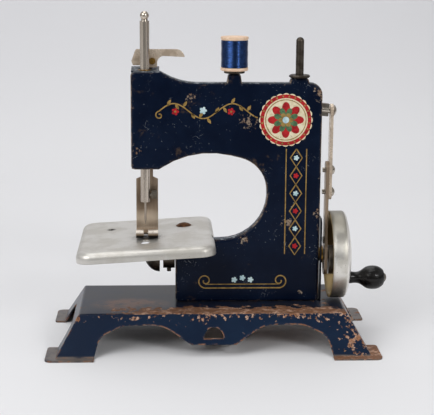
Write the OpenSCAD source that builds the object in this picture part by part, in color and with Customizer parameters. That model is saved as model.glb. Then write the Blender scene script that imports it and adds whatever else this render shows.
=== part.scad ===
// Toy sewing machine: a stamped steel panel on a stamped steel base, hand cranked, chain stitch.
// Millimetres, +Z up, +X towards the handwheel, +Y away from the decorated face.

/* [Base] */
// Length over the four feet, along X
base_len = 200; // [160:1:240]
// Depth over the four feet, along Y
base_dep = 104.8; // [90:0.2:130]
// Length of the flat top
top_len = 161; // [140:0.5:190]
// Depth of the flat top
top_dep = 64.2; // [50:0.2:80]
// Height of the flat top above the ground
base_h = 23.4; // [18:0.2:32]
// Thickness of the steel sheet of base, panel and brackets
sheet = 1; // [0.8:0.1:1.5]
// Bend radius along the edges of the flat top
fold_r = 2; // [1:0.2:4]
// How far a foot reaches out past the skirt at the ends
foot_out_x = 5.7; // [4:0.1:14]
// How far a foot reaches out past the skirt at front and back
foot_out_y = 4.6; // [3:0.2:8]
// Length of a foot along X, from its outer end
foot_len = 29; // [20:0.5:36]
// Depth of a foot along Y
foot_dep = 26; // [18:0.5:34]
// Radius of a foot's outer corner
foot_r = 4; // [1:0.5:8]
// Height of the arches in the front and back skirts
arch_h = 17.3; // [12:0.1:18]
// Half width of the tongue between two arches
tongue_half = 13.4; // [9:0.2:20]
// Height of the tongue's lower edge
tongue_z = 7.2; // [4:0.2:10]
// Radius of the half-moon hole in the tongue
moon_r = 5.9; // [3:0.1:6.5]
// Height of the half-moon hole's flat side
moon_z = 10.2; // [9:0.1:12]
// Height of the arches in the end skirts
end_arch_h = 15; // [8:0.5:18]

/* [Panel] */
// Front face of the panel, along Y
panel_front = -8; // [-12:0.2:-6]
// Depth of the rim folded back round the panel
rim_d = 6; // [4:0.2:8]
// Radius of the pressed edge between face and rim
edge_r = 2; // [1.2:0.1:2.2]
// Left end of the head
head_left = -49.3; // [-56:0.1:-46]
// Right end of the head's flat top
head_right = -31.6; // [-34:0.1:-28]
// Top of the head
head_top = 166; // [160:0.2:172]
// Underside of the head
head_low = 106.5; // [102:0.2:110]
// Right end of the head's underside
head_heel = -32.4; // [-34:0.1:-30]
// Rise of the head's top tab towards the back
tab_rise = 1.5; // [0:0.1:2]
// How far the head's tabs reach back, along Y
tab_back = 9; // [8:0.2:12]
// Top of the arm
arm_top = 159.3; // [155:0.1:162]
// Right edge of the post
post_right = 66; // [60:0.1:72]
// Radius of the arm's upper right corner
shoulder_r = 8; // [5:0.2:8.4]
// Left edge of the bed
bed_left = -22.6; // [-28:0.1:-18]
// Top of the bed
bed_top = 63.4; // [60:0.2:67]
// Length of the sweep from the head's top down to the arm
sweep_len = 11.6; // [8:0.2:16]
// Radius of the sweep where it meets the arm
sweep_r = 40; // [20:1:50]
// Height where the throat's two upper sides would meet
throat_crown = 120.4; // [118:0.2:124]
// Where the throat's two upper sides would meet, along X
throat_turn = -11.6; // [-14:0.2:-8]
// Height of the throat's upper right corner, before it is rounded
throat_high = 110.2; // [107:0.2:113]
// Foot of the throat's right flank, along X
throat_right = 36.6; // [32:0.2:40]
// How far the right flank leans over the throat
throat_lean = 5.4; // [3:0.2:8]
// Radius of the throat's lower right corner
throat_low_r = 28; // [20:0.5:30]
// Radius of the throat's upper right corner
throat_high_r = 21; // [15:0.5:22]
// Radius of the throat's arch
throat_arch_r = 53; // [40:1:58]
// Centre of the spool lug, along X
spool_x = 12.8; // [6:0.2:20]
// Width of the spool lug at its top
lug_w = 7.1; // [6:0.1:9]
// Height of the spool lug above the arm
lug_h = 5.6; // [4:0.1:8]
// Centre of the spindle lug, along X
spindle_x = 52; // [46:0.1:52]
// Width of the spindle lug at its top
spindle_lug_w = 10.6; // [8:0.1:10.8]
// Height of the spindle lug above the arm
spindle_lug_h = 2.9; // [2:0.1:4]
// Where spool pin and spindle stand, along Y
lug_y = -4.6; // [-5:0.1:-4]

/* [Cloth plate] */
// Length of the plate
plate_len = 83.7; // [66:0.1:86]
// How far the plate reaches past the bed's left edge towards the throat
plate_over = 23.9; // [18:0.1:26]
// Front edge of the plate, along Y
plate_front = -36; // [-40:0.5:-30]
// Depth of the plate
plate_dep = 87.5; // [70:0.5:88]
// Thickness of the plate
plate_t = 1; // [0.8:0.1:1.5]
// Depth of the turned-down skirt, from the plate's top
skirt_d = 6.4; // [5.4:0.2:7.4]
// Corner radius of the plate
plate_r = 9; // [7.5:0.5:14]
// Outer radius of the bend along the plate's edges
plate_edge_r = 4; // [3:0.1:4.2]
// How far the skirt's lower edge flares out
plate_flare = 2.4; // [0:0.1:3]
// Sag of the plate to the left, in degrees
plate_sag = 3.5; // [0:0.1:3.8]
// Width of the needle slot
slot_w = 5; // [4:0.2:8]
// Length of the needle slot
slot_len = 22; // [14:0.5:26]
// Where the needle slot ends behind the needle, along Y
slot_back = 3.6; // [3:0.2:6]
// Plate screw from the bed's left edge, along X
plate_screw_x = 5.6; // [4:0.2:9]
// Plate screw, along Y
plate_screw_y = 24.5; // [22:0.5:28]
// Spare screw hole, left of the bed's left edge
plate_hole_x = 40.4; // [30:0.2:46]
// Width of the plate's bracket
plate_bracket_w = 10; // [9:0.5:10.5]
// Length of the bracket's foot and tab
plate_bracket_d = 12; // [10:0.5:14]
// Diameter of the plate screw's shank
plate_bolt = 4; // [3:0.1:4.4]
// Diameter of the plate screw's head
plate_screw_d = 9.8; // [7:0.1:10]

/* [Needle and presser] */
// Axis of the needle bar, along X
bar_x = -40.9; // [-42:0.1:-40]
// Diameter of the needle bar
bar_d = 5.8; // [5:0.1:6.4]
// Lower end of the needle bar, needle up
bar_low = 85.4; // [84:0.2:90]
// Shoulder under the ball on the needle bar, needle up
bar_high = 195.4; // [190:0.2:202]
// Diameter of the ball on the needle bar
ball_d = 5.4; // [4:0.1:7]
// Length of needle below the bar
needle_out = 14; // [12:0.2:16]
// Diameter of the needle
needle_d = 1.3; // [1:0.1:1.6]
// Diameter of the needle's clamp screw
clamp_d = 5.4; // [4:0.1:6]
// Length of the clamp screw's head
clamp_len = 3.4; // [2.5:0.1:4.5]
// Axis of the presser strip, along X
strip_x = -39.9; // [-40.6:0.1:-39.6]
// Width of the presser strip in the head
strip_w = 7.4; // [6:0.1:8]
// Width of the presser foot
foot_w = 13.4; // [10:0.1:15]
// Thickness of the presser strip
strip_t = 1.2; // [1:0.1:1.4]
// Front of the presser strip, along Y
strip_y = 5.2; // [5:0.1:5.6]
// Height of the foot's shoulders
shoulder_z = 98.6; // [94:0.2:102]
// Tips of the toes, along Y
toe_front = -9.8; // [-14:0.2:-6]
// Gap between the toes
toe_gap = 2.8; // [2.4:0.1:3.4]
// Where the gap between the toes ends, along Y
toe_slot = 2.4; // [2:0.1:3]
// Bend radius behind the toes
toe_r = 4; // [3:0.1:4.4]
// Pivot of the lifter, along X
lifter_x = -36.4; // [-37:0.1:-36]
// Pivot of the lifter, along Z
lifter_z = 171.2; // [170.8:0.1:172]
// Reach of the lifter's beak from its pivot
beak_len = 19.8; // [15:0.2:26]
// Reach of the lifter's heel from its pivot
heel_len = 12.6; // [11:0.1:12.8]
// Thickness of the lifter
lifter_t = 1.5; // [1.2:0.1:1.6]
// Height of the lifter above its pivot
lifter_up = 7.1; // [5:0.1:9]
// Drop of the lifter's heel below its pivot
heel_drop = 2.6; // [2:0.1:2.7]
// Height of the beak's lower edge above its pivot
beak_low = 3.2; // [3:0.1:4]
// Diameter of the lifter's pin
lifter_pin_d = 3; // [2.4:0.1:3.2]
// Height of the needle screw above the bar's lower end
clamp_up = 4.4; // [3.6:0.1:5]
// Diameter of the needle screw's shank
clamp_shank = 2.4; // [1.8:0.1:2.6]

/* [Drive] */
// Axis of the main shaft above the ground
shaft_z = 51.8; // [50:0.1:53]
// Diameter of the main shaft
shaft_d = 6; // [5:0.1:7]
// Diameter of the handwheel
wheel_d = 54; // [44:0.5:56]
// Width of the handwheel's rim
wheel_w = 10; // [8:0.2:12]
// Inner edge of the handwheel, along X
wheel_x = 72.7; // [72.4:0.1:75]
// Bulge of the handwheel's outer face
wheel_dome = 3.8; // [2:0.1:6]
// Thickness of the handwheel's rim and web
wheel_wall = 2.2; // [1.6:0.1:3]
// Crank radius of the handle
crank_r = 15.2; // [12:0.1:18]
// Length of the handle
handle_len = 21.6; // [16:0.2:28]
// Diameter of the handle's knob
knob_d = 14.8; // [11:0.2:18]
// Diameter of the handle at its foot
handle_foot_d = 7.8; // [7:0.1:10]
// Diameter of the handle's stud
stud_d = 4; // [3:0.1:4.4]
// Diameter of the stud's head
stud_head = 6; // [5:0.1:8]
// Diameter of the handwheel's hub
hub_d = 14; // [12:0.5:16]
// Depth of the hub's inner end in the handwheel
hub_low = 3.4; // [3:0.1:4]
// Diameter of the grub screws
grub_d = 2.6; // [2:0.1:3]
// Throw of the cam
throw = 3.5; // [2.5:0.1:3.5]
// Radius of the cam
cam_r = 9; // [7:0.1:11]
// Pivot of the walking beam, along X
pivot_x = 34; // [28:0.2:40]
// Pivot of the walking beam, along Z
pivot_z = 145.4; // [144:0.1:147]
// Height of the walking beam at its pivot
beam_h = 9; // [7:0.2:11]
// Thickness of the walking beam
beam_t = 3; // [2:0.1:3.2]
// Height of the walking beam at its right end
beam_end_h = 7.6; // [6:0.1:8]
// Radius of the fork's rounded tips
tine_r = 1.8; // [1.4:0.1:2]
// Pivot pin of the walking beam
pivot_d = 5; // [4:0.1:6]
// Middle of the joint between the two rods, along X
rod_x = 71.5; // [71.4:0.1:71.9]
// Thickness of each rod
rod_t = 1.9; // [1.5:0.1:2]
// Width of the rods
rod_w = 8; // [7:0.1:10]
// Lower end of the upper rod, needle up
rod_split_low = 86; // [84:0.5:90]
// Upper end of the lower rod, needle up
rod_split_high = 110.5; // [106:0.5:116]
// Diameter of the screws that join the rods
rod_screw_d = 3; // [2.4:0.1:3.4]
// Diameter of the pin that follows the cam
pin_d = 3; // [2.4:0.1:3.4]
// How far that pin stands out towards the cam
pin_out = 0.6; // [0.4:0.05:0.8]
// Diameter of the stub that carries the rods
stub_d = 4; // [3:0.1:4.6]
// Height of the shaft bracket's right upright
upright_h = 52; // [40:0.5:56]
// Width of the shaft bracket
shaft_bracket_w = 15; // [13:0.5:20]

/* [Looper] */
// Radius that the looper sweeps
looper_r = 10.4; // [8:0.1:10.6]
// Length of the looper along the shaft
looper_len = 9.4; // [7:0.1:9.8]
// Left end of the looper, along X
looper_x = -41.6; // [-41.8:0.1:-41]
// Radius of the shaft collar
collar_r = 8.2; // [5:0.1:9]
// Length of the shaft collar
collar_len = 7.2; // [5:0.1:7.6]
// How far the collar's screw stands out
collar_screw_out = 2.2; // [1:0.1:2.4]

/* [Spool and spindle] */
// Diameter of the spool's flanges
spool_d = 16.8; // [12:0.2:20]
// Height of the spool
spool_h = 21.4; // [16:0.2:26]
// Thickness of a spool flange
flange_t = 3; // [2:0.1:4]
// Diameter of the packed thread
thread_d = 15; // [10:0.1:15]
// Diameter of the outermost thread
strand_d = 0.56; // [0.4:0.02:0.6]
// Loops of the outermost thread
loops = 14; // [8:1:14]
// Diameter of the spool pin
spool_pin_d = 3; // [2.4:0.1:3.6]
// Diameter of the spindle
spindle_d = 4.8; // [4:0.1:5.4]
// Top of the spindle above its disc
spindle_h = 22.4; // [16:0.2:28]
// Diameter of the disc on the spindle
disc_d = 13.3; // [10:0.1:15]
// Thickness of the disc on the spindle
disc_t = 1.8; // [1.2:0.1:2.4]

/* [Fits] */
// Gap between pieces that pass each other
clear = 0.35; // [0.3:0.01:0.4]
// Radial clearance of a running fit
run_fit = 0.06; // [0.03:0.01:0.1]
// Diameter of a rivet
rivet_d = 3; // [2.4:0.1:3.2]
// Diameter of a rivet's head
rivet_head = 5; // [4.4:0.1:5]
// Height of a rivet's head
rivet_h = 1; // [0.6:0.1:1.4]
// Wall of a bush
bush_wall = 1.1; // [0.8:0.1:1.4]
// Width of a bush's collar past its barrel
bush_lip = 1.2; // [0.8:0.1:1.4]

/* [Hidden] */
$fn = 64;
$fa = 6;

// A cut reaches this far past what it cuts
past = 1;
// Slope of the skirts: the feet's footprint less their tabs, against the flat top
skirt_x = base_len / 2 - foot_out_x;
skirt_y = base_dep / 2 - foot_out_y;
// The rim's free edge
rim_back = panel_front + rim_d;
// Inside of the panel's face
panel_in = panel_front + sheet;
// How far the panel's flat face laps over its pressed band
lap = 0.2;
// Least radius of the panel's outer corners, so that the pressed edge can follow them
panel_r = edge_r + 0.4;
// Tilt of the beam at either end of its swing
needle_arm = pivot_x - bar_x;
rod_arm = rod_x + rod_t / 2 - pivot_x;
beam_half = asin(throw / rod_arm);
fork_z = pivot_z + needle_arm * sin(beam_half);
stub_z = pivot_z - throw;
// Top of the head's tab at a place along Y
tab_front = panel_front + edge_r + 2;
function tab_top(y) = head_top + tab_rise * (y - tab_front) / (tab_back - tab_front);
// Thread pack and the room between the spool's flanges
barrel_r = spool_d / 2 - 3;
spool_z = arm_top + lug_h + clear;
wind_r = thread_d / 2 + strand_d / 2 + 0.12;
pitch = (spool_h - 2 * flange_t - strand_d - 2 * clear) / loops;
wind_low = flange_t + strand_d / 2 + clear;
// Sides of the thread's strand, and rings in each loop of it
sides = 6;
rings_per_loop = 24;
// Collar of the needle bar's bushes, short of the presser strip
bar_lip = strip_y - clear - bush_d(bar_d) / 2;
// Height of the cloth plate's top under the presser foot's right toe
on_plate_z = bed_top + plate_t / cos(plate_sag) + (strip_x + foot_w / 2 - bed_left) * tan(plate_sag);
// Front of the lifter, along Y
lifter_y = strip_y - clear - lifter_t;
// Tines of the beam's fork, across the needle bar
tine_in = bar_d / 2 + clear;
tine_out = tine_in + 1.4;
// Heights of the rods' screws and of the pin that follows the cam
screw_z = [rod_split_low + 5.4, rod_split_high - 5.4];
pin_z = shaft_z + shaft_d / 2 + 6;
// Outer end of the handwheel's hub, and the shaft's end in it
hub_high = wheel_w + wheel_dome - wheel_wall / 2;
shaft_end = wheel_x + hub_high - 2.4;
// The handwheel's face under the handle's foot, and the end of the handle's stud, the part's right end
foot_reach = (crank_r - handle_foot_d / 2) / (wheel_d / 2 - edge_r);
wheel_face = wheel_x + wheel_w + wheel_dome * (1 - pow(foot_reach, 2));
handle_x = wheel_face + clear;
stud_tip = handle_x + handle_len + clear + 1.6;
// The origin lies under the middle of the whole part
middle_x = (stud_tip - base_len / 2) / 2;
// Where the rivets through the base stand
panel_rivets = [bed_left + 12, (bed_left + post_right) / 2, post_right - 12];
rivet_y = panel_in + (rim_back - panel_in) / 2;
bracket_left = bed_left + sheet + 0.2;
bracket_right = post_right + 0.6;
bracket_rivets = [bracket_left + 14, bracket_right - 14];
bracket_rivet_y = rim_back + 0.2 + rivet_head / 2 + 0.5;
plate_rivet = [bed_left + plate_screw_x, plate_screw_y + 1];

// Outline helpers
function unit(v) = v / norm(v);
function turned(v, a) = [v[0] * cos(a) - v[1] * sin(a), v[0] * sin(a) + v[1] * cos(a)];
function xy(p) = [p[0], p[1]];
// The arc that rounds corner b, of radius b[2], between the corners before and after it
function corner(a, b, c) =
  let (u = unit(xy(a) - xy(b)), v = unit(xy(c) - xy(b)), half = acos(u * v) / 2)
  let (centre = xy(b) + unit(u + v) * b[2] / sin(half))
  let (start = xy(b) + u * b[2] / tan(half) - centre)
  let (sweep = (180 - 2 * half) * sign(u[0] * v[1] - u[1] * v[0]) * -1)
  let (steps = max(2, ceil(abs(sweep) / 10)))
  [for (i = [0:steps]) centre + turned(start, sweep * i / steps)];
// Length of a side that a corner's arc takes up
function taken(a, b, c) =
  let (u = unit(xy(a) - xy(b)), v = unit(xy(c) - xy(b)))
  b[2] / tan(acos(u * v) / 2);
// The corners with each radius limited to what its two sides leave it
function eased(c) =
  let (n = len(c), t = [for (i = [0:n - 1]) taken(c[(i + n - 1) % n], c[i], c[(i + 1) % n])])
  let (side = [for (i = [0:n - 1]) norm(xy(c[(i + 1) % n]) - xy(c[i]))])
  let (room = [for (i = [0:n - 1]) side[i] / max(t[i] + t[(i + 1) % n], 0.001)])
  [for (i = [0:n - 1]) [c[i][0], c[i][1], c[i][2] * min(1, 0.98 * room[i], 0.98 * room[(i + n - 1) % n])]];
// A closed outline: corners [x, y, radius] become arcs
function rounded(sharp) =
  let (c = eased(sharp), n = len(c))
  [for (i = [0:n - 1]) each c[i][2] > 0 ? corner(c[(i + n - 1) % n], c[i], c[(i + 1) % n]) : [xy(c[i])]];
// The outline moved inwards; it runs anticlockwise
function inset(p, d) =
  let (n = len(p))
  [for (i = [0:n - 1])
    let (u = unit(p[i] - p[(i + n - 1) % n]), v = unit(p[(i + 1) % n] - p[i]), m = unit(u + v))
    p[i] + turned(m, 90) * d / (m * u)];

// Places an outline drawn in X and Z so that it stands, with its depth from y0 to y1
module stand(y0, y1) {
  translate([0, y1, 0]) rotate([90, 0, 0]) linear_extrude(y1 - y0) children();
}
// A round bar along X
module bar_along_x(x0, x1, d) {
  translate([x0, 0, 0]) rotate([0, 90, 0]) cylinder(h = x1 - x0, d = d);
}
// A round bar along Y
module bar_along_y(y0, y1, d) {
  translate([0, y1, 0]) rotate([90, 0, 0]) cylinder(h = y1 - y0, d = d);
}
// Cloth plate's own frame: its underside lies on the bed's left corner and sags to the left
module on_plate() {
  translate([bed_left, 0, bed_top]) rotate([0, -plate_sag, 0]) children();
}
// Main shaft's own frame
module on_shaft() {
  translate([0, 0, shaft_z]) children();
}
// Walking beam's own frame, needle up
module on_beam() {
  translate([pivot_x, 0, pivot_z]) rotate([0, beam_half, 0]) children();
}
// A lens-shaped head on a flat face, its round side up
module lens(d, h) {
  ball = (d * d / 4 + h * h) / (2 * h);
  intersection() {
    translate([0, 0, h - ball]) sphere(r = ball);
    cylinder(h = h, d = d + past);
  }
}

// Side view of the base's block: a trapezium with its upper corners rounded, drawn on below the ground
function slope(low, high, h, r, drop) =
  let (k = (low - high) / h)
  rounded([[-low - k * drop, -drop, 0], [low + k * drop, -drop, 0], [high, h, r], [-high, h, r]]);
// The base's block: two trapezium bars crossing each other
module base_block(in, drop) {
  intersection() {
    rotate([90, 0, 0]) linear_extrude(base_dep * 2, center = true)
      polygon(slope(skirt_x - in, top_len / 2 - in, base_h - in, fold_r, drop));
    rotate([90, 0, 90]) linear_extrude(base_len * 2, center = true)
      polygon(slope(skirt_y - in, top_dep / 2 - in, base_h - in, fold_r, drop));
  }
}
// Half of the cut in the front skirt, from the foot to the tongue
function arch_half() =
  let (heel = base_len / 2 - foot_len)
  [[heel + 0.6, -past, 0], [heel - 3, arch_h * 0.66, 9], [heel - 17, arch_h, 20],
    [tongue_half + 17, arch_h, 24], [tongue_half, tongue_z, 1.5]];
function arches() =
  let (h = arch_half(), n = len(h))
  rounded(concat(h, [for (i = [n - 1:-1:0]) [-h[i][0], h[i][1], h[i][2]]]));
function end_arch() =
  let (heel = base_dep / 2 - foot_dep)
  rounded([[-heel, -past, 0], [heel, -past, 0], [heel - 2, end_arch_h, 10], [2 - heel, end_arch_h, 10]]);

// Stamped base: flat top, sloped skirts cut to arches, and four feet turned out
module base_tray() {
  color([0.10, 0.16, 0.30]) difference() {
    union() {
      difference() {
        base_block(0, 0);
        base_block(sheet, past);
        rotate([90, 0, 0]) linear_extrude(base_dep * 2, center = true) polygon(arches());
        rotate([90, 0, 90]) linear_extrude(base_len * 2, center = true) polygon(end_arch());
        rotate([90, 0, 0]) linear_extrude(base_dep * 2, center = true) intersection() {
          translate([0, moon_z]) circle(r = moon_r);
          translate([-moon_r, moon_z]) square(2 * moon_r);
        }
      }
      difference() {
        for (sx = [-1, 1], sy = [-1, 1]) scale([sx, sy, 1]) base_foot();
        base_block(sheet, past);
      }
    }
    for (x = panel_rivets) translate([x, rivet_y, base_h / 2]) cylinder(h = base_h, d = rivet_d);
    for (x = bracket_rivets) translate([x, bracket_rivet_y, base_h / 2]) cylinder(h = base_h, d = rivet_d);
    translate([plate_rivet[0], plate_rivet[1], base_h / 2]) cylinder(h = base_h, d = rivet_d);
  }
}
module base_foot() {
  x = base_len / 2;
  y = base_dep / 2;
  linear_extrude(sheet) polygon(rounded([[x - foot_len, y - foot_dep, 0], [x, y - foot_dep, foot_r / 2],
    [x, y, foot_r], [x - foot_len, y, 0]]));
}

// Outline of the panel in X and Z, anticlockwise from the bed's lower left corner
function lug(x, w, h, flare, r) =
  [[x + w / 2 + flare, arm_top, 0.5], [x + w / 2, arm_top + h, r], [x - w / 2, arm_top + h, r],
    [x - w / 2 - flare, arm_top, 0.5]];
function panel_outline() = rounded(concat(
  [[bed_left, base_h, panel_r], [post_right, base_h, panel_r], [post_right, arm_top, shoulder_r]],
  lug(spindle_x, spindle_lug_w, spindle_lug_h, 0.6, panel_r),
  lug(spool_x, lug_w, lug_h, 1, panel_r),
  [[head_right + sweep_len, arm_top, sweep_r], [head_right, head_top, panel_r],
    [head_left, head_top, panel_r + 0.6], [head_left, head_low, panel_r], [head_heel, head_low, panel_r],
    [throat_turn, throat_crown, throat_arch_r], [throat_right - throat_lean, throat_high, throat_high_r],
    [throat_right, bed_top, throat_low_r], [bed_left, bed_top, panel_r + 0.6]]));
// One ring of the pressed skin: the outline moved in, at a depth
function ring(p, d, z) = [for (q = inset(p, d)) [q[0], q[1], z]];
// Sheet pressed to a dish: a band with a rounded edge, its foot flared out, and a flat face that laps over it
module dish(p, depth, wall, r, inner_r, flare) {
  n = len(p);
  steps = 4;
  out = [for (i = [0:steps]) let (t = 90 * i / steps)
    ring(p, flare + r * (1 - cos(t)), depth - r * (1 - sin(t)))];
  in = [for (t = inner_r > 0 ? [90, 45, 0] : [0])
    ring(p, flare + wall + inner_r * (1 - cos(t)), depth - wall - inner_r * (1 - sin(t)))];
  over = [for (z = [depth, depth - wall]) ring(p, flare + r + lap, z)];
  rings = concat([ring(p, wall, 0), ring(p, 0, 0)], out, over, in);
  m = len(rings);
  skin = [for (k = [0:m - 1], i = [0:n - 1]) let (j = (i + 1) % n, a = k * n, b = (k + 1) % m * n)
    each [[a + i, b + i, b + j], [a + i, b + j, a + j]]];
  polyhedron([for (q = rings) each q], skin);
  translate([0, 0, depth - wall]) linear_extrude(wall) polygon(inset(p, flare + r + lap / 2));
}
// Stamped panel: head, arm, post and bed in one, with the head's two tabs for the bars
module body_panel() {
  color([0.07, 0.11, 0.22]) difference() {
    union() {
      translate([0, rim_back, 0]) rotate([90, 0, 0]) dish(panel_outline(), rim_d, sheet, edge_r, 0, 0);
      head_tabs();
    }
    translate([bar_x, 0, head_low - past]) cylinder(h = head_top, d = bush_d(bar_d));
    strip_slots();
    for (x = panel_rivets) translate([x, rivet_y, base_h - past]) cylinder(h = sheet + 2 * past, d = rivet_d);
    on_shaft() for (x = [bed_left, post_right])
      bar_along_x(x - 3, x + 3, bush_d(shaft_d) + 2 * bush_lip + 2 * clear);
    translate([pivot_x, 0, pivot_z]) bar_along_y(panel_front - past, panel_in + past, pivot_d - 1);
    translate([spool_x, lug_y, arm_top]) cylinder(h = lug_h + past, d = spool_pin_d);
    translate([spindle_x, lug_y, arm_top]) cylinder(h = spindle_lug_h + past, d = spindle_d - 1);
  }
}
// Tabs folded back at the head's top and underside
module head_tabs() {
  x0 = head_left + 0.3;
  x1 = head_right - 0.6;
  y0 = tab_front;
  translate([x0, 0, 0]) rotate([90, 0, 90]) linear_extrude(x1 - x0) polygon([
    [y0, head_top - sheet], [tab_back, tab_top(tab_back) - sheet], [tab_back, tab_top(tab_back)],
    [y0, head_top]]);
  translate([x0, y0, head_low]) cube([x1 - x0, tab_back - y0, sheet]);
}
module strip_slots() {
  w = strip_w + 2 * clear;
  translate([strip_x - w / 2, strip_y - clear, head_low - past])
    cube([w, strip_t + 2 * clear, head_top - head_low + 4 * past]);
}

// A rivet through two sheets, its lower head under the base's top
module rivet() {
  translate([0, 0, -sheet - rivet_h]) cylinder(h = rivet_h, d = rivet_head);
  translate([0, 0, -sheet]) cylinder(h = 2 * sheet, d = rivet_d);
  translate([0, 0, sheet]) lens(rivet_head, rivet_h);
}
module base_rivets() {
  color([0.45, 0.42, 0.38]) {
    for (x = panel_rivets) translate([x, rivet_y, base_h]) rivet();
    for (x = bracket_rivets) translate([x, bracket_rivet_y, base_h]) rivet();
    translate([plate_rivet[0], plate_rivet[1], base_h]) rivet();
  }
}

// Steel strip bent to a U, with a bush for the main shaft in each upright
module shaft_bracket() {
  w = shaft_bracket_w;
  x0 = bracket_left;
  x1 = bracket_right;
  color([0.16, 0.17, 0.20]) difference() {
    union() {
      translate([x0, -w / 2 + edge_r, base_h]) cube([x1 - x0 + sheet, w - edge_r, sheet]);
      upright(x0, shaft_z + w / 2 - 1.5);
      upright(x1, base_h + upright_h);
    }
    on_shaft() bar_along_x(x0 - past, x1 + sheet + past, bush_d(shaft_d));
    for (x = bracket_rivets) translate([x, bracket_rivet_y, base_h - past])
      cylinder(h = sheet + 2 * past, d = rivet_d);
    panel_shadow();
  }
}
// An upright of the shaft bracket: a strip with a rounded top
module upright(x, top) {
  w = shaft_bracket_w;
  translate([x, 0, 0]) rotate([90, 0, 90]) linear_extrude(sheet) polygon(rounded([
    [-w / 2, base_h, 0], [w / 2, base_h, 0], [w / 2, top, 4], [-w / 2, top, 4]]));
}
// Room that the panel's foot takes beside the shaft bracket
module panel_shadow() {
  translate([bed_left - past, panel_front - past, base_h - past])
    cube([post_right - bed_left + 1.2, rim_d + past + 0.2, bed_top]);
}

// Stand of the cloth plate: foot on the base, upright, and a tab that follows the plate's sag
module plate_bracket() {
  x0 = bed_left + plate_screw_x - plate_bracket_w / 2;
  y0 = plate_screw_y - plate_bracket_d / 2;
  color([0.16, 0.17, 0.20]) difference() {
    union() {
      translate([x0, y0, base_h]) cube([plate_bracket_w, plate_bracket_d, sheet]);
      translate([x0, y0, base_h]) cube([plate_bracket_w, sheet, bed_top - base_h + 2]);
      on_plate() translate([x0 - bed_left + 0.4, y0 + sheet / 2, -sheet])
        cube([plate_bracket_w - 0.8, plate_bracket_d - sheet / 2, sheet]);
    }
    on_plate() translate([-plate_len, y0 - past, 0]) cube([2 * plate_len, plate_bracket_d, 2 * skirt_d]);
    on_plate() translate([plate_screw_x, plate_screw_y, -2 * sheet]) cylinder(h = 3 * sheet, d = plate_bolt);
    translate([plate_rivet[0], plate_rivet[1], base_h - past]) cylinder(h = sheet + 2 * past, d = rivet_d);
  }
}

// Cloth plate: a shallow aluminium tray turned upside down, notched where the bed passes
module cloth_plate() {
  color([0.80, 0.79, 0.76]) on_plate() difference() {
    translate([0, 0, plate_t - skirt_d])
      dish(plate_outline(), skirt_d, plate_t, plate_edge_r, plate_edge_r - plate_t, plate_flare);
    translate([bar_x - bed_left, slot_back - slot_len / 2, -past])
      linear_extrude(plate_t + 2 * past) hole_outline();
    translate([plate_screw_x, plate_screw_y, -past]) cylinder(h = plate_t + 2 * past, d = plate_bolt);
    translate([-plate_hole_x, plate_screw_y, -past])
      cylinder(h = plate_t + 2 * past, d = plate_bolt - 1);
    translate([plate_over - plate_len / 2, panel_front - 0.5, -2 * skirt_d])
      cube([plate_len, rim_d + 1, 2 * skirt_d]);
  }
}
function plate_outline() =
  let (x0 = plate_over - plate_len, x1 = plate_over, y0 = plate_front, y1 = y0 + plate_dep, r = plate_r)
  rounded([[x0, y0, r], [x1, y0, r], [x1, y1, r], [x0, y1, r]]);
module hole_outline() {
  s = slot_len - slot_w;
  square([slot_w, s], center = true);
  for (e = [-1, 1]) translate([0, e * s / 2]) circle(d = slot_w);
}
module plate_screw() {
  color([0.42, 0.28, 0.18]) on_plate() translate([plate_screw_x, plate_screw_y, 0]) difference() {
    union() {
      translate([0, 0, plate_t]) lens(plate_screw_d, 1.8);
      translate([0, 0, -sheet - 4]) cylinder(h = plate_t + sheet + 4, d = plate_bolt);
    }
    translate([-6, -0.5, plate_t + 1]) cube([12, 1, 2]);
  }
}
module plate_nut() {
  color([0.35, 0.33, 0.30]) on_plate() translate([plate_screw_x, plate_screw_y, -sheet - 3]) difference() {
    cylinder(h = 3, d = 8, $fn = 6);
    translate([0, 0, -past]) cylinder(h = 3 + 2 * past, d = plate_bolt);
  }
}

// Bushes: a barrel with a collar, bored to a running fit
function bush_d(d) = d + 2 * run_fit + 2 * bush_wall;
module bush(d, len, lip_at, lip) {
  difference() {
    union() {
      cylinder(h = len, d = bush_d(d));
      translate([0, 0, lip_at]) cylinder(h = bush_lip, d = bush_d(d) + 2 * lip);
    }
    translate([0, 0, -past]) cylinder(h = len + 2 * past, d = d + 2 * run_fit);
  }
}
module needle_bar_bushes() {
  r = bush_d(bar_d) / 2 + bar_lip;
  top = tab_top(-r) - sheet;
  color([0.55, 0.45, 0.25]) {
    translate([bar_x, 0, head_low]) bush(bar_d, 6, sheet, bar_lip);
    translate([bar_x, 0, top - 5]) bush(bar_d, tab_top(0) - top + 5, 5 - bush_lip, bar_lip);
  }
}
module shaft_bushes() {
  len = sheet + bush_lip + 5;
  color([0.55, 0.45, 0.25]) on_shaft() {
    translate([bracket_left - bush_lip, 0, 0]) rotate([0, 90, 0]) bush(shaft_d, len, 0, bush_lip);
    translate([bracket_right + sheet + bush_lip, 0, 0]) rotate([0, -90, 0]) bush(shaft_d, len, 0, bush_lip);
  }
}

// Stud that the walking beam rocks on, riveted in the panel
module beam_pivot_pin() {
  half = beam_t / 2 + clear;
  color([0.55, 0.54, 0.50]) translate([pivot_x, 0, pivot_z]) {
    bar_along_y(panel_front, panel_in, pivot_d - 1);
    bar_along_y(panel_in, -half, pivot_d + 4);
    bar_along_y(-half, half, pivot_d);
    bar_along_y(half, half + 1.2, pivot_d + 4);
  }
}
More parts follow.
